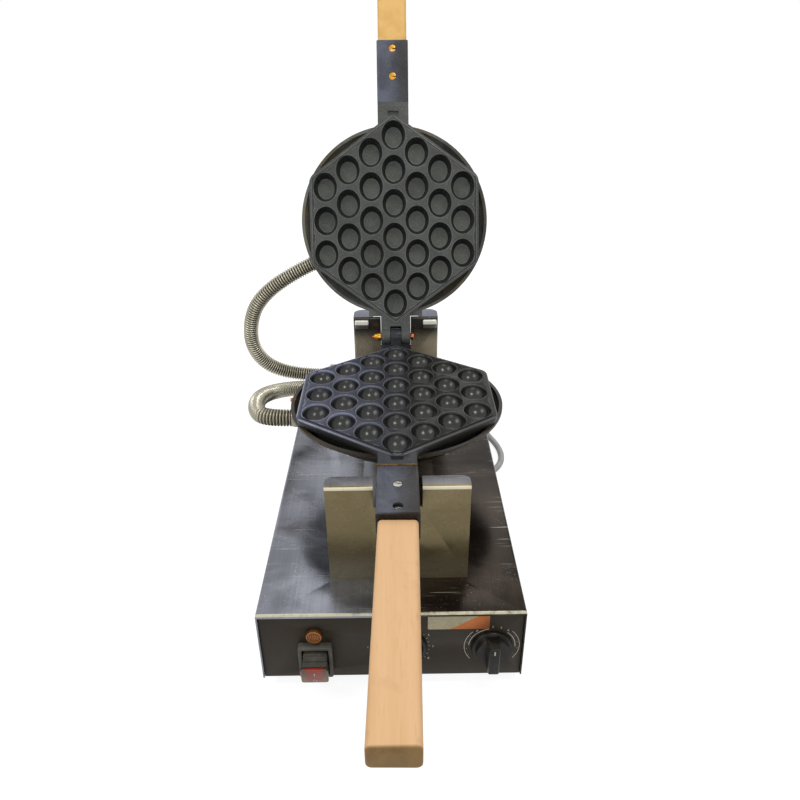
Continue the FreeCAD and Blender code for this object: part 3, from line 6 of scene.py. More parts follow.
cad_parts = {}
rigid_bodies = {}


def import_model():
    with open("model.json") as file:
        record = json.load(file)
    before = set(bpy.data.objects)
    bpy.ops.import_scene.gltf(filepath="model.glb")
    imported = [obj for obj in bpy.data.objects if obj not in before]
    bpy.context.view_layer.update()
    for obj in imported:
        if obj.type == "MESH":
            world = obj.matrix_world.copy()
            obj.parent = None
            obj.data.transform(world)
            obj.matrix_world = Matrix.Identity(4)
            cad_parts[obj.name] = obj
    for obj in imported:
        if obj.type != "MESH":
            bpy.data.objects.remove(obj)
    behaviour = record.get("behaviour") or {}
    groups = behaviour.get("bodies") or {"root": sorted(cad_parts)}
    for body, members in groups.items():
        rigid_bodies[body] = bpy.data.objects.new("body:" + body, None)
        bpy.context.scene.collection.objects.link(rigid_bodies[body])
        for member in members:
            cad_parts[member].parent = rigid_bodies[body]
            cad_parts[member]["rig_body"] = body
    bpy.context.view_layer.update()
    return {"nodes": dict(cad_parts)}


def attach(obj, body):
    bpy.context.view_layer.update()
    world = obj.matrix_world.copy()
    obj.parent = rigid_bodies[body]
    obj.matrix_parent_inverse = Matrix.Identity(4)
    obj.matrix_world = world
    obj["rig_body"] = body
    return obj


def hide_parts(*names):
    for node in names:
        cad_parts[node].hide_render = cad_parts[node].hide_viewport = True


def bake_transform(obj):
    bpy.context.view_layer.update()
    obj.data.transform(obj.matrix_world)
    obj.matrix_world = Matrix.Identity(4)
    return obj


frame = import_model()
nodes = frame["nodes"]
bpy.context.scene.view_settings.view_transform = "Standard"
print("frame loaded,", len(nodes), "nodes")


def pickOnly(piece):
    bpy.ops.object.select_all(action="DESELECT")
    piece.select_set(True)
    bpy.context.view_layer.objects.active = piece


def named(name):
    piece = bpy.context.object
    piece.name = name
    piece.data.name = name
    return piece


def settle(piece):
    # the place goes into the mesh, so the object sits at the origin
    pickOnly(piece)
    bpy.ops.object.transform_apply(location=True, rotation=True, scale=True)
    return piece


def swungAbout(piece, point, degrees, axis):
    # turns a piece about an axis through a point
    there, back = Matrix.Translation(point), Matrix.Translation(-point)
    piece.matrix_world = there @ Matrix.Rotation(math.radians(degrees), 4, axis) @ back
    return settle(piece)


def editAll(kind=None):
    # enters edit mode with everything chosen
    bpy.ops.object.mode_set(mode="EDIT")
    if kind:
        bpy.ops.mesh.select_mode(type=kind)
    bpy.ops.mesh.select_all(action="SELECT")


def editWhere(piece, kind, test):
    # enters edit mode with the faces, edges or points chosen by test(place, normal or way)
    pickOnly(piece)
    bpy.ops.object.mode_set(mode="EDIT")
    bpy.ops.mesh.select_mode(type=kind)
    bpy.ops.mesh.select_all(action="DESELECT")
    bpy.ops.object.mode_set(mode="OBJECT")
    mesh = piece.data
    if kind == "FACE":
        for face in mesh.polygons:
            face.select = test(face.center, face.normal)
    elif kind == "EDGE":
        for edge in mesh.edges:
            start, end = (mesh.vertices[index].co for index in edge.vertices)
            edge.select = test((start + end) / 2, (end - start).normalized())
    else:
        for point in mesh.vertices:
            point.select = test(point.co, point.normal)
    bpy.ops.object.mode_set(mode="EDIT")


def doneEditing():
    bpy.ops.object.mode_set(mode="OBJECT")


def workWhere(piece, kind, test, work, **settings):
    # one editing step on the chosen faces, edges or points
    editWhere(piece, kind, test)
    work(**settings)
    doneEditing()


def lengthwise(place, way):
    return abs(way.y) > 0.9


def facingFront(place, normal):
    return normal.y < -0.9


def applied(piece, kind, **settings):
    pickOnly(piece)
    item = piece.modifiers.new(kind.title(), kind)
    for key, value in settings.items():
        setattr(item, key, value)
    bpy.ops.object.modifier_apply(modifier=item.name)
    return piece


def eased(piece, width, steps, angle=None):
    # rounds the edges; an angle in radians sets which ones are sharp enough
    limit = {"limit_method": "ANGLE", "angle_limit": angle} if angle else {}
    return applied(piece, "BEVEL", width=width, segments=steps, **limit)


def smooth(piece, angle=35):
    pickOnly(piece)
    bpy.ops.object.shade_smooth_by_angle(angle=math.radians(angle))
    return piece


def joined(name, pieces):
    pickOnly(pieces[0])
    for piece in pieces:
        piece.select_set(True)
    bpy.ops.object.join()
    return named(name)


def recalculated(piece):
    editWhere(piece, "FACE", lambda place, normal: True)
    bpy.ops.mesh.remove_doubles(threshold=1e-6)
    bpy.ops.mesh.select_all(action="SELECT")
    bpy.ops.mesh.normals_make_consistent(inside=False)
    doneEditing()
    return piece


def finished(piece, body, material, replaced=()):
    piece.data.materials.clear()
    piece.data.materials.append(material)
    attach(piece, body)
    if replaced:
        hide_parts(*replaced)
    return piece


# the camera stands in front of the base and looks down at the pans
cameraView = {
    "place": (0.00631, -0.57676, 0.45153),
    "turn": -0.0046625,
    "down": 0.5042136,
    "roll": -0.010507,
    "lens": 32.159,
    "shift": 0.00702,
}
bpy.ops.object.camera_add()
camera = bpy.context.object
camera.matrix_world = (
    Matrix.Translation(cameraView["place"])
    @ Matrix.Rotation(cameraView["turn"], 4, "Z")
    @ Matrix.Rotation(math.pi / 2 - cameraView["down"], 4, "X")
    @ Matrix.Rotation(cameraView["roll"], 4, "Z")
)
camera.data.lens = cameraView["lens"]
camera.data.sensor_width = 36
camera.data.shift_y = cameraView["shift"]
camera.data.clip_start = 0.02
bpy.context.scene.camera = camera
print("camera set")


def feed(socket, value):
    # a socket gets a value, or a link from another socket of its tree
    if isinstance(value, bpy.types.NodeSocket):
        socket.id_data.links.new(value, socket)
    else:
        socket.default_value = value


def fedNode(kind, inputs, **settings):
    # a node in the same tree as the sockets that feed it
    tree = next(value.id_data for value in inputs.values() if isinstance(value, bpy.types.NodeSocket))
    item = tree.nodes.new("ShaderNode" + kind)
    for key, value in settings.items():
        setattr(item, key, value)
    for key, value in inputs.items():
        feed(item.inputs[key], value)
    return item


def tone(red, green, blue):
    # an ordinary 0 to 255 colour as the renderer's own
    def plain(level):
        share = level / 255
        return share / 12.92 if share <= 0.04045 else ((share + 0.055) / 1.055) ** 2.4
    return (plain(red), plain(green), plain(blue), 1)


def paint(value):
    # colours are written as three levels of 0 to 255; sockets and numbers pass as they are
    return tone(*value) if isinstance(value, tuple) else value


def mixed(share, first, second, way="MIX"):
    inputs = {0: share, 6: paint(first), 7: paint(second)}
    return fedNode("Mix", inputs, data_type="RGBA", blend_type=way).outputs[2]


def calc(way, first, second=0.0):
    return fedNode("Math", {0: first, 1: second}, operation=way).outputs[0]


def plus(first, second):
    return calc("ADD", first, second)


def times(first, second):
    return calc("MULTIPLY", first, second)


def ranged(value, low, high, bottom=0.0, top=1.0, kind="SMOOTHSTEP"):
    # from bottom at low to top at high, levelling off gently at both ends
    inputs = {"Value": value, "From Min": low, "From Max": high, "To Min": bottom, "To Max": top}
    return fedNode("MapRange", inputs, interpolation_type=kind).outputs["Result"]


def sloped(value, low, high, bottom, top):
    # the same along a straight line
    return ranged(value, low, high, bottom, top, "LINEAR")


def band(value, low, lowFull, highFull, high):
    # 1 between the two middle values, and 0 beyond the outer two
    return times(ranged(value, low, lowFull), ranged(value, high, highFull))


def axes(place):
    return fedNode("SeparateXYZ", {"Vector": place}).outputs


def turned(place, scale=(1, 1, 1), turn=(0, 0, 0), shift=(0, 0, 0)):
    inputs = {"Vector": place, "Scale": scale, "Rotation": turn, "Location": shift}
    return fedNode("Mapping", inputs).outputs["Vector"]


def noise(place, scale, detail=3.0, roughness=0.5, distortion=0.0):
    inputs = {"Vector": place, "Scale": scale, "Detail": detail, "Roughness": roughness,
              "Distortion": distortion}
    return fedNode("TexNoise", inputs).outputs["Fac"]


def startGroup(name, colors=(), numbers=()):
    # a shared effect: it gets a place, colours and numbers
    group = bpy.data.node_groups.new(name, "ShaderNodeTree")
    kinds = {"place": "Vector", **dict.fromkeys(colors, "Color"), **dict.fromkeys(numbers, "Float")}
    for label, kind in kinds.items():
        group.interface.new_socket(name=label, in_out="INPUT", socket_type="NodeSocket" + kind)
    entry = group.nodes.new("NodeGroupInput").outputs
    return group, entry, entry["place"]


def closeGroup(group, **results):
    for label in results:
        kind = "Color" if label == "color" else "Float"
        group.interface.new_socket(name=label, in_out="OUTPUT", socket_type="NodeSocket" + kind)
    leave = group.nodes.new("NodeGroupOutput").inputs
    for label, value in results.items():
        feed(leave[label], value)
    return group


def withGroup(group, place, **values):
    item = place.id_data.nodes.new("ShaderNodeGroup")
    item.node_tree = group
    for key, value in {"place": place, **values}.items():
        feed(item.inputs[key], paint(value))
    return item.outputs


def makeCastGroup():
    # the granular skin of a coated casting, with light specks and broad blotches
    group, entry, place = startGroup("castSkin", ("skin", "speck", "blotch"),
                                     ("blotchShare", "speckShare", "gloss"))
    fine = noise(place, 620, 4, 0.65)
    grit = noise(place, 1500, 2, 0.6)
    broad = noise(place, 26, 5, 0.6, 0.4)
    blotch = times(ranged(broad, 0.42, 0.62), entry["blotchShare"])
    skin = mixed(blotch, entry["skin"], entry["blotch"])
    skin = mixed(1.0, skin, sloped(fine, 0.3, 0.7, 0.82, 1.2), "MULTIPLY")
    speck = times(ranged(grit, 0.62, 0.74), entry["speckShare"])
    rough = plus(entry["gloss"], sloped(fine, 0.3, 0.7, -0.06, 0.08))
    return closeGroup(group, color=mixed(speck, skin, entry["speck"]),
                      roughness=plus(rough, sloped(broad, 0.35, 0.65, -0.05, 0.06)),
                      height=plus(fine, times(grit, 0.35)))


def makeScratchGroup():
    # fine hairline scratches in three directions and small light specks
    group, entry, place = startGroup("scuffs", numbers=("density", "specks"))
    lines = None
    for turn, wide, shift in ((0.35, 700, 0.0), (-0.6, 560, 3.1), (1.35, 820, 7.7)):
        spread = turned(place, (14, wide, 14), (0, 0, turn), (shift, shift, 0))
        line = ranged(noise(spread, 1.0, 1, 0.4), 0.70, 0.75)
        lines = line if lines is None else calc("MAXIMUM", lines, line)
    patches = ranged(noise(place, 16, 3, 0.6, 0.6), 0.44, 0.6)
    dots = ranged(noise(place, 900, 2, 0.5), 0.68, 0.75)
    dots = times(dots, ranged(noise(place, 30, 3, 0.5), 0.45, 0.62))
    return closeGroup(group, scratch=times(times(lines, patches), entry["density"]),
                      speck=times(dots, entry["specks"]))


def makeSheetGroup():
    # rolled sheet: clouds of painted reflection over a brushed ground
    group, entry, place = startGroup("rolledSheet", ("ground", "cloud", "mark"),
                                     ("cloudShare", "markShare", "gloss"))
    clouds = noise(turned(place, (9, 15, 12)), 1.6, 7, 0.62, 0.7)
    brushed = noise(turned(place, (700, 9, 700)), 1.0, 3, 0.6)
    cloud = times(ranged(clouds, 0.38, 0.66), entry["cloudShare"])
    ground = mixed(cloud, entry["ground"], entry["cloud"])
    ground = mixed(1.0, ground, sloped(brushed, 0.3, 0.7, 0.9, 1.1), "MULTIPLY")
    scuff = withGroup(scuffGroup, place, density=entry["markShare"], specks=entry["markShare"])
    marks = calc("MAXIMUM", scuff["scratch"], scuff["speck"])
    rough = plus(entry["gloss"], sloped(clouds, 0.35, 0.7, -0.05, 0.14))
    return closeGroup(group, color=mixed(marks, ground, entry["mark"]),
                      roughness=plus(rough, times(marks, 0.25)),
                      height=plus(times(brushed, 0.3), marks))


def makeWoodGroup():
    # straight grained beech along the handle, with short darker flecks
    group, entry, place = startGroup("beech", ("light", "dark", "grime"), ("grimeShare",))
    bands = noise(turned(place, (95, 4.5, 95)), 1.0, 4, 0.55, 0.35)
    flecks = noise(turned(place, (620, 46, 620)), 1.0, 3, 0.6)
    pores = noise(turned(place, (1500, 60, 1500)), 1.0, 2, 0.5)
    grime = noise(place, 38, 5, 0.65, 0.5)
    wood = mixed(ranged(bands, 0.3, 0.75, 0.0, 0.55), entry["light"], entry["dark"])
    wood = mixed(ranged(flecks, 0.58, 0.72, 0.0, 0.3), wood, entry["dark"])
    wood = mixed(ranged(pores, 0.64, 0.76, 0.0, 0.16), wood, entry["grime"])
    spots = times(ranged(grime, 0.56, 0.72), entry["grimeShare"])
    return closeGroup(group, color=mixed(spots, wood, entry["grime"]),
                      roughness=sloped(flecks, 0.3, 0.7, 0.46, 0.62),
                      height=plus(flecks, pores))


def makePlasticGroup():
    # moulded plastic or rubber with a fine grain, dust and a few light rubs
    group, entry, place = startGroup("mouldedGrain", ("body", "dust"),
                                     ("dustShare", "gloss", "grain"))
    grain = noise(place, entry["grain"], 3.0, 0.6)
    film = noise(place, 90, 5, 0.65, 0.4)
    dust = times(ranged(film, 0.45, 0.75), entry["dustShare"])
    body = mixed(1.0, entry["body"], sloped(grain, 0.3, 0.7, 0.85, 1.15), "MULTIPLY")
    return closeGroup(group, color=mixed(dust, body, entry["dust"]),
                      roughness=plus(entry["gloss"], sloped(film, 0.3, 0.7, -0.06, 0.12)),
                      height=grain)


pocket = {"columnStep": 0.0226, "rowStep": 0.0326, "halfWidth": 0.0118, "halfLength": 0.01415}
# the six-sided edge: its slanted sides fall by slope; stretch is their length per step across
hexagon = {"sideHalf": 0.0837, "pointHalf": 0.1027, "slope": 0.7212, "stretch": 1.233}


def makePocketGroup():
    # how far a place on the pan's face is from the nearest pocket's middle: 1 at the pocket's rim,
    # and how far it lies inside the six-sided edge
    group, entry, place = startGroup("pocketReach")
    own = axes(place)
    double = pocket["columnStep"] * 2
    least = None
    for column, row in ((0.0, 0.5), (1.0, 0.0)):
        squares = []
        for value, step, shift, half in ((own["X"], double, column / 2, pocket["halfWidth"]),
                                         (own["Y"], pocket["rowStep"], row, pocket["halfLength"])):
            cell = plus(calc("DIVIDE", value, step), -shift)
            near = calc("SUBTRACT", cell, calc("ROUND", cell))
            squares.append(calc("POWER", times(near, step / half), 2.0))
        reach = calc("POWER", plus(*squares), 0.5)
        least = reach if least is None else calc("MINIMUM", least, reach)
    wide = calc("ABSOLUTE", own["X"])
    slanted = plus(calc("ABSOLUTE", own["Y"]), times(wide, hexagon["slope"]))
    slanted = calc("SUBTRACT", hexagon["pointHalf"], slanted)
    slanted = calc("DIVIDE", slanted, hexagon["stretch"])
    straight = calc("SUBTRACT", hexagon["sideHalf"], wide)
    margin = calc("MINIMUM", slanted, straight)
    beyond = times(ranged(margin, 0.0040, 0.0030), 3.0)
    return closeGroup(group, reach=plus(least, beyond), margin=margin)


castGroup = makeCastGroup()
scuffGroup = makeScratchGroup()
sheetGroup = makeSheetGroup()
woodGroup = makeWoodGroup()
plasticGroup = makePlasticGroup()
pocketGroup = makePocketGroup()
print("shared shader groups made")


def startMaterial(name, **fixed):
    material = bpy.data.materials.new(name)
    material.use_nodes = True
    tree = material.node_tree
    shader = next(item for item in tree.nodes if item.type == "BSDF_PRINCIPLED")
    for key, value in {"Specular IOR Level": 0.22, **fixed}.items():
        shader.inputs[key].default_value = value
    place = tree.nodes.new("ShaderNodeTexCoord").outputs["Object"]
    return material, shader, place


def roughen(shader, height, strength, distance):
    relief = fedNode("Bump", {"Strength": strength, "Distance": distance, "Height": height})
    feed(shader.inputs["Normal"], relief.outputs["Normal"])


def dress(shader, outputs, bump, distance=0.0002, color=None):
    feed(shader.inputs["Base Color"], color or outputs["color"])
    feed(shader.inputs["Roughness"], outputs["roughness"])
    roughen(shader, outputs["height"], bump, distance)


def moulded(started, body, dust, dustShare, gloss, grain, bump):
    material, shader, place = started
    outputs = withGroup(plasticGroup, place, body=body, dust=dust, dustShare=dustShare,
                        gloss=gloss, grain=grain)
    dress(shader, outputs, bump)
    return material


def plasticMaterial(name, body, dust, dustShare, gloss, grain=1400, bump=0.12):
    return moulded(startMaterial(name), body, dust, dustShare, gloss, grain, bump)


def metalMaterial(name, ground, cloud, mark, cloudShare, markShare, gloss, bump=0.1, metallic=1.0):
    material, shader, place = startMaterial(name, Metallic=metallic)
    outputs = withGroup(sheetGroup, place, ground=ground, cloud=cloud, mark=mark,
                        cloudShare=cloudShare, markShare=markShare, gloss=gloss)
    dress(shader, outputs, bump)
    return material


def makeRod(name, metal, dark, gloss):
    # small turned parts: bright metal with darker clouds of painted reflection
    return metalMaterial(name, metal, dark, (236, 232, 222), 0.35, 0.3, gloss, 0.06)


panCentre = Vector((0.006, -0.0222, 0.1585))
hingePlace = Vector((0.006, 0.0926, 0.1625))
lidTurn = 112.1
# the cover's left and right tones and their clouds are painted reflection, bluish grey at the left
# and dark brown at the right; its lip tone is a painted highlight
coverTones = {"left": (116, 118, 126), "right": (40, 34, 29), "cloudLeft": (150, 152, 162),
              "cloudRight": (68, 60, 52), "mark": (214, 214, 210), "lip": (216, 210, 184)}
# on the lower plate the left and right tones are painted reflection, the groove tone is painted shade
# in the step inside the edge, and the two edge tones are painted highlights
lowerTones = {"left": (70, 73, 88), "right": (18, 18, 16), "pocket": (18, 18, 16),
              "skirt": (40, 40, 40), "speck": (170, 168, 160), "groove": (16, 15, 16),
              "highlightLeft": (178, 183, 210), "highlightRight": (150, 148, 142), "blotch": (28, 26, 24)}
# on the upper plate the rim and ridge tones are painted highlights, and the wall and groove tones are
# painted shade
upperTones = {"land": (76, 78, 76), "floor": (90, 93, 88), "wallShade": (30, 31, 30),
              "speck": (188, 188, 182), "rim": (140, 142, 136), "groove": (14, 15, 14),
              "ridge": (150, 152, 146), "blotch": (50, 52, 50)}
# the block's top tone is a painted reflection, and its shade and end tones are painted shade
housingTones = {"residue": (112, 88, 50), "speck": (170, 160, 138), "blotch": (34, 30, 26),
                "blockTopReflection": (86, 90, 104), "blockShade": (56, 56, 58), "blockEndShade": (26, 22, 18)}
# bent plates: colours with painted reflection, painted light, painted shade and painted highlights,
# and the heights between which they change; the fold's painted highlight and the painted shade run
# from low to high
frontSupportFinish = {
    "face": -0.1555, "low": 0.066, "ground": (110, 99, 71), "litLowTone": (150, 142, 118),
    "cloud": (134, 122, 92), "flange": (88, 88, 92), "flangeCloud": (124, 124, 128),
    "foldHighlightTone": (240, 234, 206), "foldHighlight": (0.1494, 0.1526),
}
rearSupportFinish = {
    "face": 0.1026, "low": 0.120, "ground": (186, 174, 148), "litLowTone": (196, 184, 156),
    "cloud": (206, 194, 168), "flange": (92, 98, 116), "flangeCloud": (116, 122, 140),
    "shadeTone": (70, 66, 62), "shade": (0.148, 0.168),
}
tabFinish = {
    "face": 0.1026, "low": 0.120, "ground": (104, 102, 96), "litLowTone": (104, 102, 96),
    "cloud": (136, 134, 126), "flange": (104, 102, 96), "flangeCloud": (136, 134, 126),
    "foldHighlightTone": (240, 238, 226), "foldHighlight": (0.1718, 0.1790),
}


def makeCoverSteel():
    metallic = 0.75
    material, shader, place = startMaterial("coverSteel", Metallic=metallic)
    own = axes(place)
    # painted reflection: bluish grey at the left going to dark brown at the right
    share = ranged(own["X"], -0.03, 0.03)
    outputs = withGroup(
        sheetGroup, place, ground=mixed(share, coverTones["left"], coverTones["right"]),
        cloud=mixed(share, coverTones["cloudLeft"], coverTones["cloudRight"]),
        mark=coverTones["mark"], cloudShare=0.75,
        markShare=ranged(own["Z"], 0.0600, 0.0650, 0.08, 0.45), gloss=0.22)
    # a painted highlight along the folded lip at the front, broken into patches
    lip = times(ranged(own["Y"], -0.1912, -0.1918), ranged(own["Z"], 0.0634, 0.0642))
    highlightPatches = ranged(noise(place, 160, 3, 0.6), 0.3, 0.55, 0.45, 1.0)
    lip = times(lip, highlightPatches)
    feed(shader.inputs["Metallic"], sloped(lip, 0.0, 1.0, metallic, 0.35))
    dress(shader, outputs, 0.08, color=mixed(lip, outputs["color"], coverTones["lip"]))
    return material


def makeSupportSteel(name, values):
    # a bent plate: painted reflection of the wood and the pans on its face and of the sky on its
    # flange, painted light on its lower part, and a painted highlight along its fold
    metallic, face, low = 0.6, values["face"], values["low"]
    material, shader, place = startMaterial(name, Metallic=metallic)
    own = axes(place)
    # painted reflection: the flange's own cooler colours stand for the sky it reflects
    flange = ranged(own["Y"], face + 0.0016, face + 0.0026)
    # painted light: the lower part turns to the lighter low tone
    lower = ranged(own["Z"], low + 0.03, low + 0.002)
    ground = mixed(lower, values["ground"], values["litLowTone"])
    cloud = mixed(lower, values["cloud"], values["ground"])
    if "shade" in values:
        shaded = ranged(own["Z"], *values["shade"])
        ground = mixed(shaded, ground, values["shadeTone"])
        cloud = mixed(shaded, cloud, values["shadeTone"])
    outputs = withGroup(sheetGroup, place, ground=mixed(flange, ground, values["flange"]),
                        cloud=mixed(flange, cloud, values["flangeCloud"]), mark=(224, 220, 204),
                        cloudShare=0.7, markShare=0.5, gloss=0.26)
    color = outputs["color"]
    # a painted highlight along the fold, where the sheet is less metallic
    if "foldHighlight" in values:
        start, end = values["foldHighlight"]
        foldHighlight = band(own["Z"], start, start + 0.0007, end - 0.0006, end)
        foldHighlight = times(foldHighlight, ranged(own["Y"], face + 0.0014, face + 0.0010))
        color = mixed(foldHighlight, color, values["foldHighlightTone"])
        feed(shader.inputs["Metallic"], sloped(foldHighlight, 0.0, 1.0, metallic, 0.15))
    dress(shader, outputs, 0.08, color=color)
    return material


def localPlace(place, open):
    # turns a place on either half into the pan's own frame, with its middle at the origin
    if not open:
        return turned(place, shift=tuple(-panCentre))
    angle = math.radians(lidTurn)
    shift = hingePlace - panCentre - Matrix.Rotation(angle, 3, "X") @ hingePlace
    return turned(place, turn=(angle, 0, 0), shift=tuple(shift))


def startPan(name, open):
    # a plate's material, how far a place is from the pockets and the edge, and the groove inside it
    material, shader, place = startMaterial(name)
    found = withGroup(pocketGroup, localPlace(place, open))
    groove = band(found["margin"], 0.0024, 0.0028, 0.0033, 0.0037)
    return material, shader, place, found["reach"], found["margin"], groove


def makeLowerCast():
    material, shader, place, reach, margin, groove = startPan("lowerCoatedCast", False)
    shader.inputs["Coat Roughness"].default_value = 0.14
    inside = ranged(reach, 1.0, 0.94)
    rim = band(reach, 0.975, 1.0, 1.01, 1.04)
    # painted reflection: the land goes from bluish at the left to near black at the right
    share = ranged(axes(place)["X"], -0.06, 0.035)
    land = mixed(share, lowerTones["left"], lowerTones["right"])
    # painted shade in the step inside the edge
    land = mixed(times(groove, 0.8), land, lowerTones["groove"])
    # painted highlights along the edge and on the pocket rims, stronger at the left
    edge = calc("MAXIMUM", band(margin, -0.0004, 0.0, 0.0007, 0.0012), rim)
    edge = times(edge, ranged(share, 0.0, 1.0, 0.62, 0.3))
    highlightTone = mixed(share, lowerTones["highlightLeft"], lowerTones["highlightRight"])
    land = mixed(edge, land, highlightTone)
    skirt = ranged(axes(localPlace(place, False))["Z"], -0.0014, -0.0022)
    skirt = times(skirt, ranged(reach, 1.0, 1.1))
    land = mixed(skirt, land, lowerTones["skirt"])
    skin = mixed(inside, land, lowerTones["pocket"])
    feed(shader.inputs["Coat Weight"], sloped(inside, 0.0, 1.0, 0.08, 0.55))
    outputs = withGroup(castGroup, place, skin=skin, speck=lowerTones["speck"],
                        blotch=mixed(0.55, skin, lowerTones["blotch"]), blotchShare=0.6,
                        speckShare=0.22, gloss=sloped(inside, 0.0, 1.0, 0.42, 0.3))
    dress(shader, outputs, 0.18, 0.00012)
    return material


def makeUpperCast():
    material, shader, place, reach, margin, groove = startPan("upperCoatedCast", True)
    skin = upperTones["land"]
    # painted highlights on the pocket rims and the ridges, painted shade in the groove and on the
    # pocket walls
    layers = ((times(band(reach, 0.96, 1.0, 1.01, 1.06), 0.35), "rim"),
              (times(groove, 0.75), "groove"),
              (times(band(margin, 0.0016, 0.0020, 0.0024, 0.0027), 0.35), "ridge"),
              (ranged(reach, 1.0, 0.96), "wallShade"),
              (ranged(reach, 0.72, 0.66), "floor"),
              (times(band(reach, 0.64, 0.67, 0.70, 0.73), 0.3), "ridge"))
    for share, toneName in layers:
        skin = mixed(share, skin, upperTones[toneName])
    outputs = withGroup(castGroup, place, skin=skin, speck=upperTones["speck"],
                        blotch=mixed(0.4, skin, upperTones["blotch"]), blotchShare=0.8,
                        speckShare=0.6, gloss=0.5)
    dress(shader, outputs, 0.35, 0.00016)
    return material


def makeHousingCast(name, skin, brown, residueBand, open, across):
    # across: painted light, the skin's brightness at the left and at the right
    material, shader, place = startMaterial(name)
    own = axes(localPlace(place, open))
    whole = axes(place)
    stain = ranged(noise(place, 22, 4, 0.6, 0.5), 0.42, 0.62)
    color = mixed(stain, skin, brown)
    if residueBand:
        low, high = residueBand
        ring = band(whole["Z"], low, low + 0.0008, high - 0.0006, high)
        ring = times(ring, ranged(whole["Y"], -0.055, -0.085))
        crumbShare = ranged(noise(place, 420, 3, 0.7), 0.44, 0.6)
        ring = times(ring, times(crumbShare, 0.6))
        color = mixed(ring, color, housingTones["residue"])
    # the handle block is clean of stains; its top has a painted reflection, bluish at the left and
    # going to painted shade at the right, and painted shade lies below its top
    handle = ranged(own["Y"], -0.1120, -0.1128)
    top = mixed(ranged(own["X"], -0.010, 0.013), housingTones["blockTopReflection"],
                housingTones["blockShade"])
    top = mixed(ranged(own["Z"], -0.0012, -0.0030), top, housingTones["blockEndShade"])
    color = mixed(handle, color, top)
    # painted light across the skin: brighter at the left, darker at the right
    color = mixed(1.0, color, sloped(whole["X"], -0.09, 0.08, *across), "MULTIPLY")
    outputs = withGroup(castGroup, place, skin=color, speck=housingTones["speck"],
                        blotch=housingTones["blotch"], blotchShare=0.5, speckShare=0.3, gloss=0.36)
    dress(shader, outputs, 0.3, 0.00016)
    return material


def makeWood(name, light, dark, grime, endTone=None, endPlace=None):
    material, shader, place = startMaterial(name)
    if endTone:
        # the sawn end is darker and oily
        share = ranged(axes(place)["Y"], endPlace + 0.0016, endPlace - 0.0002)
        light = mixed(share, light, endTone)
        dark = mixed(share, dark, tuple(level * 0.7 for level in endTone))
    outputs = withGroup(woodGroup, place, light=light, dark=dark, grime=grime, grimeShare=0.1)
    dress(shader, outputs, 0.12, 0.00015)
    return material


lamp = {"x": -0.0578, "z": 0.0448, "face": -0.1923, "radius": 0.0061, "depth": 0.0040, "bars": 6,
        "barWidth": 0.0009, "ribStep": 0.00126, "shineY": -0.1954}


def makeLens():
    started = startMaterial("amberLens")
    material, shader, place = started
    shader.inputs["Coat Weight"].default_value = 0.3
    # dark grooves between the ribs, and a dark line around them
    across = calc("DIVIDE", plus(axes(place)["X"], -lamp["x"]), lamp["ribStep"])
    groove = calc("ABSOLUTE", plus(calc("FRACT", across), -0.5))
    middle = (lamp["x"], lamp["shineY"], lamp["z"])
    away = fedNode("VectorMath", {0: place, 1: middle}, operation="DISTANCE").outputs["Value"]
    dark = times(ranged(groove, 0.28, 0.40), ranged(away, 0.0044, 0.0041))
    dark = calc("MAXIMUM", dark, ranged(away, 0.0056, 0.0060))
    color = mixed(times(dark, 0.8), (164, 98, 24), (48, 28, 10))
    return moulded(started, color, (70, 38, 10), 0.5, 0.22, 700.0, 0.1)


def makeRockerCap():
    # a clear cap gone brown, with the red rocker showing through its middle
    started = startMaterial("rockerCap")
    material, shader, place = started
    shader.inputs["Coat Weight"].default_value = 0.5
    own = axes(place)
    side = calc("ABSOLUTE", plus(own["X"], 0.0577))
    middle = times(ranged(side, 0.0072, 0.0050), ranged(own["Z"], 0.0112, 0.0142))
    brown = mixed(ranged(own["Z"], 0.0125, 0.0250), (128, 92, 44), (92, 62, 50))
    color = mixed(middle, brown, (150, 44, 34))
    return moulded(started, color, (80, 62, 46), 0.6, 0.24, 700.0, 0.08)


def makeLabelFilm():
    # a plain sticker: cream, with a slanted orange field at its lower right
    started = startMaterial("labelFilm")
    material, shader, place = started
    own = axes(place)
    slope = plus(own["X"], times(own["Z"], -1.6))
    warm = mixed(ranged(slope, -0.03, -0.008), (204, 120, 62), (150, 78, 44))
    color = mixed(ranged(slope, -0.0335, -0.0325), (184, 175, 146), warm)
    return moulded(started, color, (120, 104, 80), 0.35, 0.35, 900.0, 0.05)


def makeWool():
    material, shader, place = startMaterial("mineralWool", Roughness=0.95)
    matted = noise(turned(place, (300, 300, 1400)), 1.0, 5, 0.7, 1.2)
    color = mixed(ranged(matted, 0.35, 0.65), (150, 138, 110), (214, 206, 180))
    feed(shader.inputs["Base Color"], color)
    roughen(shader, matted, 0.8, 0.0006)
    return material


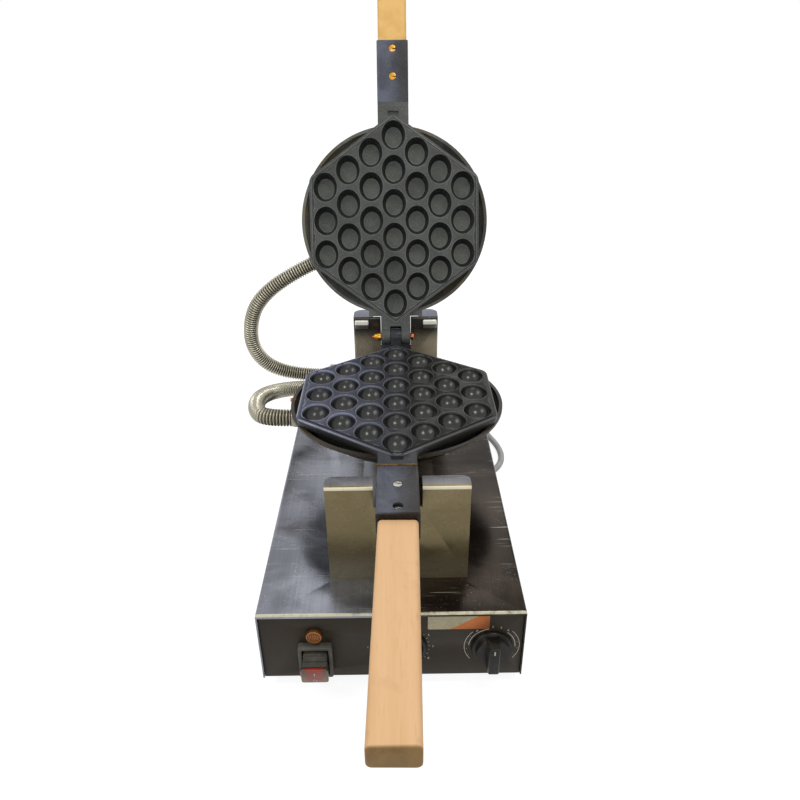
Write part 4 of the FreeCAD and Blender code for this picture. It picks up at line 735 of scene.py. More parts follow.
finishes = {
    "cover": makeCoverSteel(),
    "zinc": metalMaterial("zincSheet", (150, 154, 158), (178, 182, 184), (214, 214, 210), 0.7, 0.3,
                          0.38),
    "panel": plasticMaterial("panelCoat", (42, 35, 25), (70, 60, 46), 0.3, 0.46, 1100, 0.1),
    "rubber": plasticMaterial("footRubber", (30, 30, 30), (96, 92, 86), 0.4, 0.7, 900, 0.4),
    "screw": makeRod("screwSteel", (176, 172, 162), (60, 55, 48), 0.3),
    "support": makeSupportSteel("supportSteel", frontSupportFinish),
    "rearSupport": makeSupportSteel("rearSupportSteel", rearSupportFinish),
    "tab": makeSupportSteel("tabSteel", tabFinish),
    "blackPlastic": plasticMaterial("blackPlastic", (22, 20, 16), (92, 86, 76), 0.28, 0.34),
    "frame": plasticMaterial("switchFramePlastic", (86, 84, 78), (128, 124, 114), 0.5, 0.42),
    "boot": plasticMaterial("bootPlastic", (66, 64, 57), (112, 108, 98), 0.45, 0.3, 900, 0.1),
    "red": makeRockerCap(),
    "lens": makeLens(),
    "zincSteel": makeRod("shaftSteel", (168, 168, 164), (60, 60, 60), 0.34),
    "cream": plasticMaterial("creamPlastic", (220, 208, 180), (170, 156, 128), 0.3, 0.5, 900, 0.1),
    "film": makeLabelFilm(),
    "lowerCast": makeLowerCast(),
    "upperCast": makeUpperCast(),
    "lowerHousing": makeHousingCast("lowerHousingCast", (46, 44, 40), (58, 50, 34), (0.1462, 0.1512),
                                    False, (0.9, 0.8)),
    "upperHousing": makeHousingCast("upperHousingCast", (86, 88, 84), (90, 84, 68), None, True,
                                    (1.7, 0.9)),
    "heater": makeRod("heaterSteel", (120, 108, 92), (50, 40, 30), 0.45),
    "wool": makeWool(),
    "lowerWood": makeWood("lowerBeech", (228, 186, 140), (208, 160, 110), (150, 106, 56),
                          (150, 120, 74), -0.3626),
    "upperWood": makeWood("upperBeech", (238, 194, 120), (214, 164, 88), (150, 104, 52)),
    "copper": makeRod("copperScrew", (196, 108, 66), (90, 40, 20), 0.3),
    "brass": makeRod("brassNut", (206, 150, 62), (90, 60, 20), 0.26),
    "conduit": metalMaterial("conduitSteel", (176, 172, 156), (140, 134, 116), (240, 238, 228), 0.6,
                             0.15, 0.22, 0.05, 0.85),
    # painted shade for the conduit's valleys
    "conduitValleyShade": metalMaterial("conduitGrooveShade", (54, 50, 40), (36, 32, 26), (90, 86, 74), 0.6, 0.1,
                                 0.5, 0.05, 0.5),
    "fitting": metalMaterial("fittingSteel", (150, 146, 132), (120, 114, 100), (230, 228, 220), 0.6,
                             0.3, 0.26),
    "cord": plasticMaterial("cordSheath", (178, 178, 176), (140, 134, 122), 0.35, 0.48, 800, 0.1),
    "darkPlug": plasticMaterial("plugPlastic", (52, 52, 52), (110, 106, 98), 0.3, 0.45),
    "ink": plasticMaterial("whiteInk", (206, 202, 190), (140, 132, 116), 0.4, 0.5, 1200, 0.05),
    "grime": plasticMaterial("bakedResidue", (112, 84, 48), (48, 34, 20), 0.9, 0.6, 500, 0.9),
}
print("finishes made,", len(finishes))

finishNodes = {
    "cover": "top_cover",
    "zinc": "bottom_plate rear_panel thermostat_body",
    "panel": "front_panel",
    "rubber": "rubber_feet",
    "screw": "foot_screws cover_screws support_screws lower_plate_screws lower_grip_screws "
             "upper_plate_screws",
    "support": "front_support",
    "rearSupport": "rear_support",
    "blackPlastic": "lamp_body switch_body temperature_knob timer_knob cord_tie",
    "lens": "lamp_lens",
    "frame": "switch_frame",
    "zincSteel": "switch_pivot temperature_shaft timer_shaft lower_heater_pins upper_heater_pins",
    "boot": "switch_boot",
    "red": "switch_rocker",
    "cream": "timer_body terminal_block",
    "film": "front_label",
    "lowerCast": "lower_plate",
    "lowerHousing": "lower_housing",
    "heater": "lower_heater upper_heater",
    "wool": "lower_insulation upper_insulation",
    "lowerWood": "lower_grip",
    "fitting": "lower_fitting upper_fitting lower_elbow upper_elbow",
    "copper": "sensor_bulb rim_screw hinge_pin",
    "upperCast": "upper_plate",
    "upperHousing": "upper_housing",
    "upperWood": "upper_grip",
    "brass": "upper_grip_screws hinge_nut plug_pins",
    "conduit": "lower_conduit upper_conduit",
    "darkPlug": "cord_gland plug",
    "cord": "power_cord cord_coil",
}
nodeFinish = {node: finish for finish, names in finishNodes.items() for node in names.split()}
for nodeName, finishName in nodeFinish.items():
    nodes[nodeName].data.materials.clear()
    nodes[nodeName].data.materials.append(finishes[finishName])
print("nodes finished")


def nurbsPath(name, points, steps, radius=1.0):
    # a smooth open line that starts and ends at its outer points
    bpy.ops.curve.primitive_nurbs_path_add()
    path = named(name)
    path.data.splines.clear()
    line = path.data.splines.new("NURBS")
    line.points.add(len(points) - 1)
    for item, point in zip(line.points, points):
        item.co = (*point, 1)
        item.radius = radius
    line.order_u = 3
    line.use_endpoint_u = True
    line.resolution_u = steps
    path.data.dimensions = "3D"
    return path


# the power cord leaves the gland, lies beside the base and ends in a coil behind it
cord = {
    "diameter": 0.007,
    "length": 1.572,
    "exit": (0.015, 0.2231, 0.028),
    "route": ((0.015, 0.2595, 0.028), (0.043, 0.2875, 0.010), (0.083, 0.2895, -0.0063),
              (0.112, 0.2625, -0.0063), (0.111, 0.2215, -0.0063), (0.114, 0.1835, -0.0063),
              (0.129, 0.1435, -0.0063), (0.126, 0.1095, -0.0063), (0.101, 0.0835, -0.0063),
              (0.065, 0.0815, -0.0063), (0.040, 0.1075, -0.0063), (0.036, 0.1425, -0.0063),
              (0.028, 0.1775, -0.0063), (0.010, 0.2075, -0.0063), (0.004, 0.2415, -0.0063)),
    "coilCentre": (-0.042, 0.2715),
    "coilRadius": 0.0468,
    "coilStep": 0.0078,
    "coilRise": 0.0077,
    "coilTurns": 4,
    "coilPoints": 16,
    "climbFrom": 1.75,
    "climbOver": 0.5,
    "tail": 0.030,
}


def coilPoints():
    # two turns in on the table, then two turns out on top of them
    points = []
    for index in range(1, cord["coilTurns"] * cord["coilPoints"] + 1):
        turn = index / cord["coilPoints"]
        inward = min(turn, cord["coilTurns"] - turn)
        radius = cord["coilRadius"] - cord["coilStep"] * inward
        climb = min(max((turn - cord["climbFrom"]) / cord["climbOver"], 0), 1)
        angle = math.tau * turn
        points.append((cord["coilCentre"][0] + radius * math.cos(angle),
                       cord["coilCentre"][1] + radius * math.sin(angle),
                       cord["route"][-1][2] + cord["coilRise"] * climb))
    return points


def makeCord():
    turns = coilPoints()
    end = (turns[-1][0], turns[-1][1] + cord["tail"], turns[-1][2])
    points = [cord["exit"], *cord["route"], *turns, end]
    # the points carry the tube's radius, so that the curve's own box fits it
    piece = nurbsPath("powerCord", points, 8, cord["diameter"] / 2)
    piece.data.bevel_depth = 1
    piece.data.bevel_resolution = 5
    piece.data.use_fill_caps = True
    return piece


powerCord = makeCord()
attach(powerCord, "base")
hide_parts("power_cord", "cord_coil")
powerCord.data.materials.append(finishes["cord"])
print("cord laid")


def lathe(name, profile, sides, place, aim):
    # rings drawn out one after another along an axis, given as radius and distance
    bpy.ops.mesh.primitive_circle_add(vertices=sides, radius=profile[0][0], fill_type="NGON",
                                      location=(0, 0, profile[0][1]))
    piece = settle(named(name))
    editAll("EDGE")
    for before, after in zip(profile, profile[1:]):
        step = (0, 0, after[1] - before[1])
        bpy.ops.mesh.extrude_edges_move(TRANSFORM_OT_translate={"value": step})
        share = after[0] / before[0]
        bpy.ops.transform.resize(value=(share, share, 1), center_override=(0, 0, 0))
    bpy.ops.mesh.edge_face_add()
    doneEditing()
    recalculated(piece)
    aimed = Vector((0, 0, 1)).rotation_difference(Vector(aim)).to_matrix().to_4x4()
    piece.matrix_world = Matrix.Translation(place) @ aimed
    return settle(piece)


def block(name, low, high):
    # a box between two corners, ready for shaping
    centre = [(first + second) / 2 for first, second in zip(low, high)]
    size = [second - first for first, second in zip(low, high)]
    bpy.ops.mesh.primitive_cube_add(size=1, location=centre, scale=size)
    return settle(named(name))


# solids whose shape is right, shown with eased edges: name, edge width, steps
easedNodes = {
    "top_cover": ("coverShell", 0.0005, 3), "bottom_plate": ("baseTray", 0.0003, 2),
    "front_panel": ("frontPanel", 0.0003, 2), "rear_panel": ("rearPanel", 0.0003, 2),
    "front_support": ("frontSupport", 0.0006, 3), "rear_support": ("rearSupport", 0.0006, 3),
    "lower_plate": ("lowerPan", 0.0004, 2), "upper_plate": ("upperPan", 0.0004, 2),
    "lower_housing": ("lowerDish", 0.0007, 3), "upper_housing": ("upperDish", 0.0007, 3),
    "lower_fitting": ("lowerFitting", 0.0004, 2), "upper_fitting": ("upperFitting", 0.0004, 2),
    "lower_elbow": ("lowerElbow", 0.0006, 3), "upper_elbow": ("upperElbow", 0.0006, 3),
    "switch_frame": ("switchFrame", 0.0009, 3), "switch_boot": ("switchBoot", 0.0009, 3),
    "switch_rocker": ("switchRocker", 0.0007, 3), "foot_screws": ("footScrews", 0.0003, 2),
    "cover_screws": ("coverScrews", 0.0004, 3), "support_screws": ("supportScrews", 0.0005, 3),
    "lower_grip_screws": ("lowerGripScrews", 0.0004, 3),
    "upper_grip_screws": ("upperGripScrews", 0.0004, 3), "rim_screw": ("rimScrew", 0.0003, 2),
    "hinge_pin": ("hingeBolt", 0.0006, 3), "hinge_nut": ("hingeNut", 0.0006, 3),
    "cord_tie": ("cordTie", 0.0003, 2), "plug_pins": ("plugPins", 0.0004, 2),
    "terminal_block": ("terminalBlock", 0.0004, 2), "timer_body": ("timerCase", 0.0005, 2),
    "thermostat_body": ("thermostatCase", 0.0005, 2),
}
# degrees: faces that lie flatter than flat become one, edges sharper than sharp are rounded
easing = {"flat": 1.0, "sharp": 32, "shade": 30}


def easedNode(nodeName, name, width, steps):
    # a copy of a solid, its loose triangles merged into whole faces, standing for the plain one
    piece = bpy.data.objects.new(name, nodes[nodeName].data.copy())
    bpy.context.scene.collection.objects.link(piece)
    piece.data.name = name
    pickOnly(piece)
    bpy.ops.mesh.customdata_custom_splitnormals_clear()
    editAll()
    bpy.ops.mesh.remove_doubles(threshold=1e-6)
    bpy.ops.mesh.dissolve_limited(angle_limit=math.radians(easing["flat"]))
    doneEditing()
    eased(piece, width, steps, math.radians(easing["sharp"]))
    smooth(piece, easing["shade"])
    body = nodes[nodeName]["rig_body"]
    finished(piece, body, finishes[nodeFinish[nodeName]], [nodeName])


for nodeName, pieceValues in easedNodes.items():
    easedNode(nodeName, *pieceValues)
print("eased solids made,", len(easedNodes))


tabs = {"inner": 0.0278, "outer": 0.0418, "low": (0.1000, 0.1672), "high": (0.1032, 0.1766),
        "round": 0.0013}


def makeSupportTabs():
    # the two lugs bent forward at the top of the rear support
    lugs = []
    for side in (-1, 1):
        ends = sorted(panCentre.x + side * tabs[key] for key in ("inner", "outer"))
        lug = block("supportLug", (ends[0], *tabs["low"]), (ends[1], *tabs["high"]))
        lugs.append(eased(lug, tabs["round"], 5))
    piece = joined("supportTabs", lugs)
    smooth(piece, 40)
    finished(piece, "base", finishes["tab"])


makeSupportTabs()


def makeLampLens():
    # a dome with a sunk middle that holds upright ribs; its rings are shares of radius and depth
    x, z, face, radius, depth = (lamp[key] for key in ("x", "z", "face", "radius", "depth"))
    rings = ((1, 0), (1, 0.45), (0.97, 0.62), (0.90, 0.74), (0.80, 0.78), (0.74, 0.66),
             (0.70, 0.62), (0.40, 0.70), (0.06, 0.73))
    profile = [(radius * wide, depth * far) for wide, far in rings]
    pieces = [lathe("lampLens", profile, 48, (x, face, z), (0, -1, 0))]
    half = lamp["barWidth"] / 2
    for index in range(lamp["bars"]):
        offset = (index - (lamp["bars"] - 1) / 2) * radius * 1.24 / lamp["bars"]
        reach = math.sqrt((radius * 0.68) ** 2 - offset ** 2)
        bar = block("lampBar", (x + offset - half, face - depth * 0.86, z - reach),
                    (x + offset + half, face - depth * 0.5, z + reach))
        pieces.append(eased(bar, 0.00025, 3))
    lens = joined("lampLens", pieces)
    smooth(lens, 40)
    finished(lens, "base", finishes["lens"], ["lamp_lens"])


makeLampLens()


mark = {"x": -0.0577, "z": 0.0206, "pivotY": -0.1886, "tilt": 7.0, "face": -0.2080}


def makeSwitchMarks():
    # a bar and a ring, moulded in white on the rocker
    x, face, z = mark["x"], mark["face"], mark["z"]
    bar = block("switchMarks", (x - 0.0004, face - 0.00015, z + 0.0008),
                (x + 0.0004, face + 0.0003, z + 0.0036))
    eased(bar, 0.0001, 2)
    bpy.ops.mesh.primitive_torus_add(location=(x, face, z - 0.0052), rotation=(math.pi / 2, 0, 0),
                                     major_radius=0.0014, minor_radius=0.00022,
                                     major_segments=32, minor_segments=8)
    ring = settle(named("ringMark"))
    piece = joined("switchMarks", [bar, ring])
    swungAbout(piece, Vector((x, mark["pivotY"], z)), mark["tilt"], "X")
    smooth(piece)
    finished(piece, "rocker", finishes["ink"])


makeSwitchMarks()


# spans and arcs in degrees by the clock; an arc is its radius, width, start and end
dials = {
    "temperature": {"x": 0.0065, "z": 0.030, "radius": 0.020, "node": "temperature_knob",
                    "body": "temperature_dial", "arcs": (),
                    "ticks": 25, "tickSpan": 132, "tickAt": 0.0217, "tickLength": 0.0014,
                    "figures": 9, "figureSpan": 120, "figureAt": 0.0246, "figureSize": 0.0028},
    "timer": {"x": 0.0757, "z": 0.030, "radius": 0.0155, "node": "timer_knob", "body": "timer_dial",
              "arcs": ((0.0176, 0.0005, -86, -10), (0.0176, 0.0005, 40, 92),
                       (0.0209, 0.0004, 46, 128), (0.0209, 0.0004, -128, -46)),
              "ticks": 13, "tickSpan": 118, "tickAt": 0.0193, "tickLength": 0.0006,
              "figures": 5, "figureSpan": 36, "figureAt": 0.0196, "figureSize": 0.0026},
}
dial = {"face": -0.1911, "knobFace": -0.1917, "skirt": 0.003, "hub": 0.007, "reach": 0.016,
        "hubInset": 0.002, "barWidth": 0.011, "inkDepth": 0.00006}


def onPanel(values, angle, distance):
    # a place on the panel, by the clock: 0 is up, positive to the right
    turn = math.radians(angle)
    return (values["x"] + distance * math.sin(turn), dial["face"],
            values["z"] + distance * math.cos(turn))


def makeArc(values, radius, width, start, end):
    bpy.ops.mesh.primitive_circle_add(vertices=120, radius=radius - width / 2, location=(0, 0, 0))
    piece = settle(named("dialArc"))
    editAll()
    bpy.ops.mesh.extrude_edges_move()
    share = (radius + width / 2) / (radius - width / 2)
    bpy.ops.transform.resize(value=(share, share, 1), center_override=(0, 0, 0))
    doneEditing()

    def outside(place, normal):
        return not start <= math.degrees(math.atan2(place.x, place.y)) <= end

    workWhere(piece, "FACE", outside, bpy.ops.mesh.delete, type="FACE")
    applied(piece, "SOLIDIFY", thickness=dial["inkDepth"] * 2, offset=0)
    upright = Matrix.Rotation(math.pi / 2, 4, "X")
    piece.matrix_world = Matrix.Translation((values["x"], dial["face"], values["z"])) @ upright
    return settle(piece)


def makeTick(values, angle):
    size = (0.0003, dial["inkDepth"] * 2, values["tickLength"])
    bpy.ops.mesh.primitive_cube_add(size=1, location=onPanel(values, angle, values["tickAt"]),
                                    rotation=(0, math.radians(angle), 0), scale=size)
    return eased(settle(named("dialTick")), 0.00008, 1)


def makeFigure(values, angle, text):
    place = onPanel(values, angle, values["figureAt"])
    bpy.ops.object.text_add(location=place, rotation=(math.pi / 2, 0, 0))
    item = bpy.context.object
    item.data.body = text
    item.data.size = values["figureSize"]
    item.data.align_x = "CENTER"
    item.data.align_y = "CENTER"
    item.data.extrude = dial["inkDepth"]
    pickOnly(item)
    bpy.ops.object.convert(target="MESH")
    return settle(named("dialFigure"))


def spread(count, span):
    # evenly apart, from -span to span
    return [(index / (count - 1) * 2 - 1) * span for index in range(count)]


def makeDialPrint(name, values):
    pieces = [makeArc(values, *arc) for arc in values["arcs"]]
    pieces += [makeTick(values, angle) for angle in spread(values["ticks"], values["tickSpan"])]
    for index, angle in enumerate(spread(values["figures"], values["figureSpan"])):
        pieces.append(makeFigure(values, angle, str(index)))
    finished(joined(name + "Print", pieces), "base", finishes["ink"])


def makeKnob(name, values):
    x, z, radius, face = values["x"], values["z"], values["radius"], dial["knobFace"]
    inner = radius - dial["hubInset"]
    skirt, hub = dial["skirt"], dial["hub"]
    profile = [(radius, 0), (radius, skirt * 0.4), (radius - 0.0006, skirt * 0.85),
               (radius - 0.0012, skirt), (inner, skirt), (inner * 0.97, skirt + 0.0004),
               (inner * 0.93, hub * 0.86), (inner * 0.90, hub), (inner * 0.4, hub - 0.0003),
               (inner * 0.05, hub - 0.0003)]
    disc = lathe("knobSkirt", profile, 72, (x, face, z), (0, -1, 0))
    half = dial["barWidth"] / 2
    front = face - dial["reach"]
    bar = block("knobBar", (x - half, front, z - inner), (x + half, face - skirt, z + inner))
    workWhere(bar, "FACE", facingFront, bpy.ops.transform.resize, value=(0.72, 1, 0.95),
              center_override=(x, 0, z))
    eased(bar, 0.0012, 4, 0.5)
    knob = joined(name + "Knob", [disc, bar])
    smooth(knob, 32)
    pointer = block(name + "Pointer", (x - 0.0005, front - 0.0001, z + inner * 0.56),
                    (x + 0.0005, front + 0.0003, z + inner * 0.84))
    eased(pointer, 0.0001, 2)
    finished(pointer, values["body"], finishes["ink"])
    finished(knob, values["body"], finishes["blackPlastic"], [values["node"]])


for dialName, dialValues in dials.items():
    makeKnob(dialName, dialValues)
    makeDialPrint(dialName, dialValues)
print("controls made")


label = {"x": 0.050, "z": 0.0549, "width": 0.046, "height": 0.0138, "depth": 0.0003, "corner": 0.0014}


def makeLabel():
    x, z, face = label["x"], label["z"], dial["face"]
    wide, high = label["width"] / 2, label["height"] / 2
    piece = block("panelLabel", (x - wide, face - label["depth"], z - high),
                  (x + wide, face, z + high))
    workWhere(piece, "EDGE", lengthwise, bpy.ops.mesh.bevel, offset=label["corner"], segments=5)
    eased(piece, 0.0001, 1, 1.0)
    smooth(piece)
    finished(piece, "base", finishes["film"], ["front_label"])


makeLabel()


# a chip is a place on a long edge, and its size
grips = {
    "lower": {"low": (-0.0079, -0.3628, 0.1364), "high": (0.0199, -0.1928, 0.1524), "yaw": -1.1,
              "chips": ((0.0199, -0.236, 0.1524, 0.0024), (0.0199, -0.2635, 0.1524, 0.0018),
                        (0.0199, -0.281, 0.1524, 0.0020), (0.0199, -0.302, 0.1524, 0.0014),
                        (-0.0079, -0.355, 0.1524, 0.0020), (0.0199, -0.3595, 0.1524, 0.0024)),
              "node": "lower_grip", "body": "base", "finish": "lowerWood", "slot": "lower_wood"},
    "upper": {"low": (-0.0079, -0.3628, 0.1649), "high": (0.0199, -0.1928, 0.1809), "yaw": 0.0,
              "chips": ((0.0199, -0.215, 0.1649, 0.0014), (-0.0079, -0.207, 0.1649, 0.0012)),
              "node": "upper_grip", "body": "lid", "finish": "upperWood", "slot": "upper_wood"},
}
gripShape = {"edge": 0.0032, "end": 0.0011, "cuts": 110, "chipDepth": 0.3}


def makeGrip(name, values):
    piece = block(name + "Grip", values["low"], values["high"])
    workWhere(piece, "EDGE", lengthwise, bpy.ops.mesh.bevel, offset=gripShape["edge"], segments=5)
    workWhere(piece, "EDGE", lambda place, way: abs(way.y) < 0.1, bpy.ops.mesh.bevel,
              offset=gripShape["end"], segments=3)
    workWhere(piece, "EDGE", lengthwise, bpy.ops.mesh.subdivide, number_cuts=gripShape["cuts"])
    centre = Vector([(low + high) / 2 for low, high in zip(values["low"], values["high"])])
    for x, y, z, size in values["chips"]:
        corner = Vector((x, y, z))
        inward = Vector((centre.x - x, 0, centre.z - z)).normalized()
        workWhere(piece, "VERT", lambda place, normal: (place - corner).length < size,
                  bpy.ops.transform.translate, value=inward * size * gripShape["chipDepth"])
    smooth(piece, 40)
    # the lower grip sits a little askew on its tang
    swungAbout(piece, Vector((panCentre.x, values["high"][1], 0)), values["yaw"], "Z")
    if values["body"] == "lid":
        swungAbout(piece, hingePlace, -lidTurn, "X")
    finished(piece, values["body"], finishes[values["finish"]], [values["node"]])


for gripName, gripValues in grips.items():
    makeGrip(gripName, gripValues)
print("grips made")


crumbs = {"seed": 4, "rough": 0.00032,
          "beads": (((-0.0086, -0.1356, 0.1574), (0.0206, -0.1341, 0.1582)),
                    ((-0.0098, -0.1345, 0.1500), (-0.0088, -0.1335, 0.1574)))}


def makeCrumbs():
    # baked batter left along the joint between the plate's neck and the block
    beads = []
    for low, high in crumbs["beads"]:
        bead = block("crumbBead", low, high)
        editAll()
        bpy.ops.mesh.subdivide(number_cuts=3)
        doneEditing()
        along = 0 if high[0] - low[0] > 0.01 else 2
        editWhere(bead, "EDGE", lambda place, way: abs(way[along]) > 0.9)
        bpy.ops.mesh.subdivide(number_cuts=12)
        bpy.ops.mesh.select_all(action="SELECT")
        bpy.ops.transform.vertex_random(offset=crumbs["rough"], uniform=0.4, normal=0.3,
                                        seed=crumbs["seed"])
        doneEditing()
        beads.append(bead)
    piece = joined("bakedCrumbs", beads)
    smooth(piece, 60)
    finished(piece, "base", finishes["grime"])


makeCrumbs()


hoses = {
    "lower": {"route": ((-0.0875, -0.0222, 0.1345), (-0.1115, -0.0222, 0.1345),
                        (-0.123, -0.0055, 0.133), (-0.1275, 0.0295, 0.1265), (-0.121, 0.0675, 0.114),
                        (-0.09774, 0.09662, 0.10343), (-0.07373, 0.11105, 0.09592)),
              "node": "lower_conduit"},
    "upper": {"route": ((-0.07874, 0.13974, 0.22462), (-0.10502, 0.13513, 0.21327),
                        (-0.136, 0.1335, 0.190), (-0.1495, 0.1375, 0.163), (-0.152, 0.1425, 0.129),
                        (-0.135, 0.1505, 0.101), (-0.098, 0.1575, 0.088), (-0.069, 0.1575, 0.088)),
              "node": "upper_conduit"},
}
# a rib's rings: share of the pitch, share of the way from valley to crest
rib = {"pitch": 0.0027, "crest": 0.0078, "valley": 0.0062, "sides": 28, "grooveShares": (0.10, 0.80),
       "rings": ((0.06, 0.0), (0.16, 0.45), (0.30, 0.90), (0.44, 1.0), (0.58, 0.96), (0.72, 0.62),
                 (0.84, 0.12), (1.0, 0.0))}


def makeRib(name, pitch):
    # one rib, drawn ring by ring along X; faces beyond the groove shares get painted shade in the
    # valleys
    bpy.ops.mesh.primitive_circle_add(vertices=rib["sides"], radius=rib["valley"],
                                      rotation=(0, math.pi / 2, 0))
    piece = settle(named(name))
    editAll()
    radius, place = rib["valley"], 0.0
    for share, height in rib["rings"]:
        bigger = rib["valley"] + (rib["crest"] - rib["valley"]) * height
        step = ((share - place) * pitch, 0, 0)
        bpy.ops.mesh.extrude_edges_move(TRANSFORM_OT_translate={"value": step})
        growth = bigger / radius
        bpy.ops.transform.resize(value=(1, growth, growth), center_override=(0, 0, 0))
        radius, place = bigger, share
    doneEditing()
    piece.data.materials.append(finishes["conduit"])
    piece.data.materials.append(finishes["conduitValleyShade"])
    start, end = (share * pitch for share in rib["grooveShares"])
    for face in piece.data.polygons:
        face.material_index = 0 if start < face.center.x < end else 1
    return piece


def makeHose(name, values):
    # the rib is repeated and laid along a guide
    guide = nurbsPath(name + "Guide", values["route"], 24)
    line = bpy.data.meshes.new_from_object(guide)
    places = [vertex.co for vertex in line.vertices]
    length = sum((second - first).length for first, second in zip(places, places[1:]))
    count = round(length / rib["pitch"])
    piece = makeRib(name + "Conduit", length / count)
    applied(piece, "ARRAY", count=count, use_relative_offset=False, use_constant_offset=True,
            constant_offset_displace=(length / count, 0, 0), use_merge_vertices=True,
            merge_threshold=0.00001)
    applied(piece, "CURVE", object=guide, deform_axis="POS_X")
    recalculated(piece)
    bpy.data.objects.remove(guide)
    smooth(piece, 50)
    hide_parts(values["node"])
    return piece


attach(makeHose("lower", hoses["lower"]), "base")
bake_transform(makeHose("upper", hoses["upper"]))
print("conduits made")


gland = {"x": 0.015, "z": 0.028, "face": 0.1912, "nut": 0.011, "nutDepth": 0.006, "sleeve": 0.026,
         "root": 0.0077, "tip": 0.0048, "rings": 8,
         "ring": ((0.10, 1.0), (0.55, 1.0), (0.62, 0.84), (0.92, 0.84))}


def makeGland():
    place = (gland["x"], gland["face"], gland["z"])
    wide, depth, root, tip = gland["nut"], gland["nutDepth"], gland["root"], gland["tip"]
    nut = lathe("glandNut", [(wide * 0.94, 0), (wide, 0.0006), (wide, depth - 0.0008),
                             (wide * 0.88, depth), (root * 0.9, depth)], 6, place, (0, 1, 0))
    profile = [(root, depth - 0.001)]
    for index in range(gland["rings"]):
        for share, groove in gland["ring"]:
            along = (index + share) / gland["rings"]
            profile.append(((root + (tip - root) * along) * groove, depth + gland["sleeve"] * along))
    profile.append((tip * 0.98, depth + gland["sleeve"]))
    sleeve = lathe("glandSleeve", profile, 40, place, (0, 1, 0))
    eased(sleeve, 0.0002, 2, 0.6)
    piece = joined("cordGland", [nut, sleeve])
    smooth(piece)
    finished(piece, "base", finishes["darkPlug"], ["cord_gland"])


makeGland()


plug = {"low": (-0.0090, 0.3135, -0.0076), "high": (0.0170, 0.3515, 0.0104), "ridges": 4,
        "neck": 0.012, "rings": 5, "widen": 0.00022,
        "ring": ((0.0045, 0.12), (0.0047, 0.6), (0.0041, 0.7))}


def makePlug():
    low, high = Vector(plug["low"]), Vector(plug["high"])
    centre = (low + high) / 2
    body = block("plugBody", low, high)
    workWhere(body, "FACE", facingFront, bpy.ops.transform.resize, value=(0.62, 1, 0.72),
              center_override=centre)
    workWhere(body, "EDGE", lambda place, way: abs(way.y) > 0.5, bpy.ops.mesh.bevel, offset=0.005,
              segments=5)
    eased(body, 0.0012, 3, 0.6)
    parts = [body]
    for index in range(plug["ridges"]):
        y = low.y + 0.012 + index * 0.0042
        for side in (-1, 1):
            x = centre.x + side * (0.0098 + index * 0.0006)
            ridge = block("plugRidge", (x - 0.0010, y, centre.z - 0.0055),
                          (x + 0.0010, y + 0.0018, centre.z + 0.0055))
            parts.append(eased(ridge, 0.0005, 3))
    neckStart = Vector((centre.x, low.y - plug["neck"], centre.z))
    step = plug["neck"] / plug["rings"]
    profile = [(0.0043, 0)]
    for index in range(plug["rings"]):
        profile += [(radius + index * plug["widen"], step * (index + share))
                    for radius, share in plug["ring"]]
    profile.append((0.0055, plug["neck"] + 0.001))
    parts.append(lathe("plugNeck", profile, 32, neckStart, (0, 1, 0)))
    piece = joined("mainsPlug", parts)
    smooth(piece, 38)
    finished(piece, "base", finishes["darkPlug"], ["plug"])


makePlug()
print("gland and plug made")


foot = {"places": ((-0.078, -0.1625), (-0.078, 0.1625), (0.078, -0.1625), (0.078, 0.1625)),
        "height": 0.010, "top": 0.001, "radius": 0.011}


def makeFeet():
    # from the screw's hole in the sole, round the rim, to the stub on top
    radius, height, top = foot["radius"], foot["height"], foot["top"]
    profile = [(0.0022, 0), (0.0022, 0.0055), (0.0039, 0.0056), (0.0039, height),
               (radius * 0.80, height), (radius * 0.86, height - 0.0006),
               (radius * 0.90, height - 0.0020), (radius * 0.98, 0.0010 - top), (radius, -0.0004),
               (radius * 0.99, -top), (0.0024, -top)]
    feet = [lathe("rubberFoot", profile, 48, (*place, 0), (0, 0, -1)) for place in foot["places"]]
    piece = joined("rubberFeet", feet)
    smooth(piece)
    finished(piece, "base", finishes["rubber"], ["rubber_feet"])


makeFeet()


stage = {"floor": -0.010, "size": 12.0, "ground": 0.36, "glow": 0.82, "sky": 0.55}


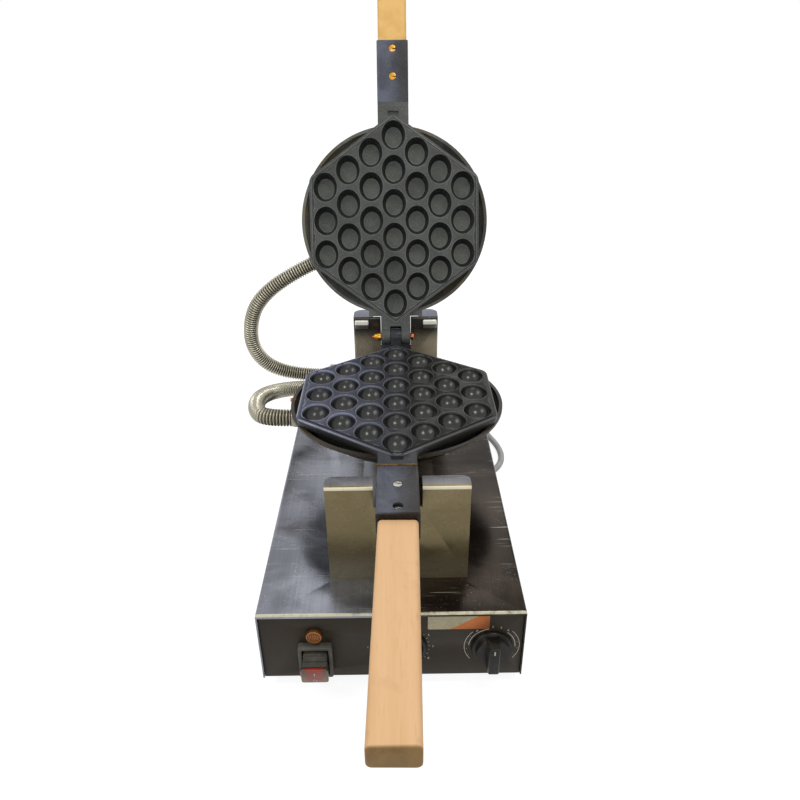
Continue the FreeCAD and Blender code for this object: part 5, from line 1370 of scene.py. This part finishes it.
def seenShare(tree):
    # 1 where the camera, a mirror or a clear piece looks, 0 where light is only gathered
    rays = tree.nodes.new("ShaderNodeLightPath").outputs
    seen = calc("MAXIMUM", rays["Is Camera Ray"], rays["Is Glossy Ray"])
    return calc("MAXIMUM", seen, rays["Is Transmission Ray"])


def makeStage():
    bpy.ops.mesh.primitive_plane_add(size=stage["size"], location=(0, 0, stage["floor"]))
    floor = named("paleFloor")
    material, shader, place = startMaterial("paleFloor", Roughness=0.9)
    shader.inputs["Base Color"].default_value = (stage["ground"],) * 3 + (1,)
    feed(shader.inputs["Emission Strength"], times(seenShare(material.node_tree), stage["glow"]))
    shader.inputs["Emission Color"].default_value = (1, 1, 1, 1)
    floor.data.materials.append(material)
    world = bpy.data.worlds.new("softSky")
    bpy.context.scene.world = world
    world.use_nodes = True
    tree = world.node_tree
    sky = next(item for item in tree.nodes if item.type == "BACKGROUND")
    feed(sky.inputs["Strength"], sloped(seenShare(tree), 0.0, 1.0, stage["sky"], 1.0))
    sky.inputs["Color"].default_value = (1, 1, 1, 1)


makeStage()


lights = {
    "keyLamp": {"place": (0.35, -0.35, 1.35), "aim": (0.0, 0.0, 0.12), "size": 0.35, "power": 3.9,
                "color": (1.0, 0.98, 0.94)},
    "sideLamp": {"place": (-0.75, -0.30, 0.95), "aim": (0.0, 0.0, 0.15), "size": 0.5, "power": 3.0,
                 "color": (0.92, 0.95, 1.0)},
    "frontLamp": {"place": (0.10, -1.60, 0.75), "aim": (0.0, 0.0, 0.12), "size": 0.9, "power": 3.9,
                  "color": (1.0, 0.98, 0.95)},
    "backLamp": {"place": (0.10, 0.9, 1.1), "aim": (0.0, 0.1, 0.2), "size": 0.6, "power": 2.2,
                 "color": (1.0, 1.0, 1.0)},
}
for lightName, values in lights.items():
    bpy.ops.object.light_add(type="AREA", location=values["place"])
    item = bpy.context.object
    item.name = lightName
    item.data.size = values["size"]
    item.data.energy = values["power"]
    item.data.color = values["color"]
    ray = Vector(values["aim"]) - Vector(values["place"])
    item.rotation_euler = ray.to_track_quat("-Z", "Y").to_euler()
print("stage and lights set")
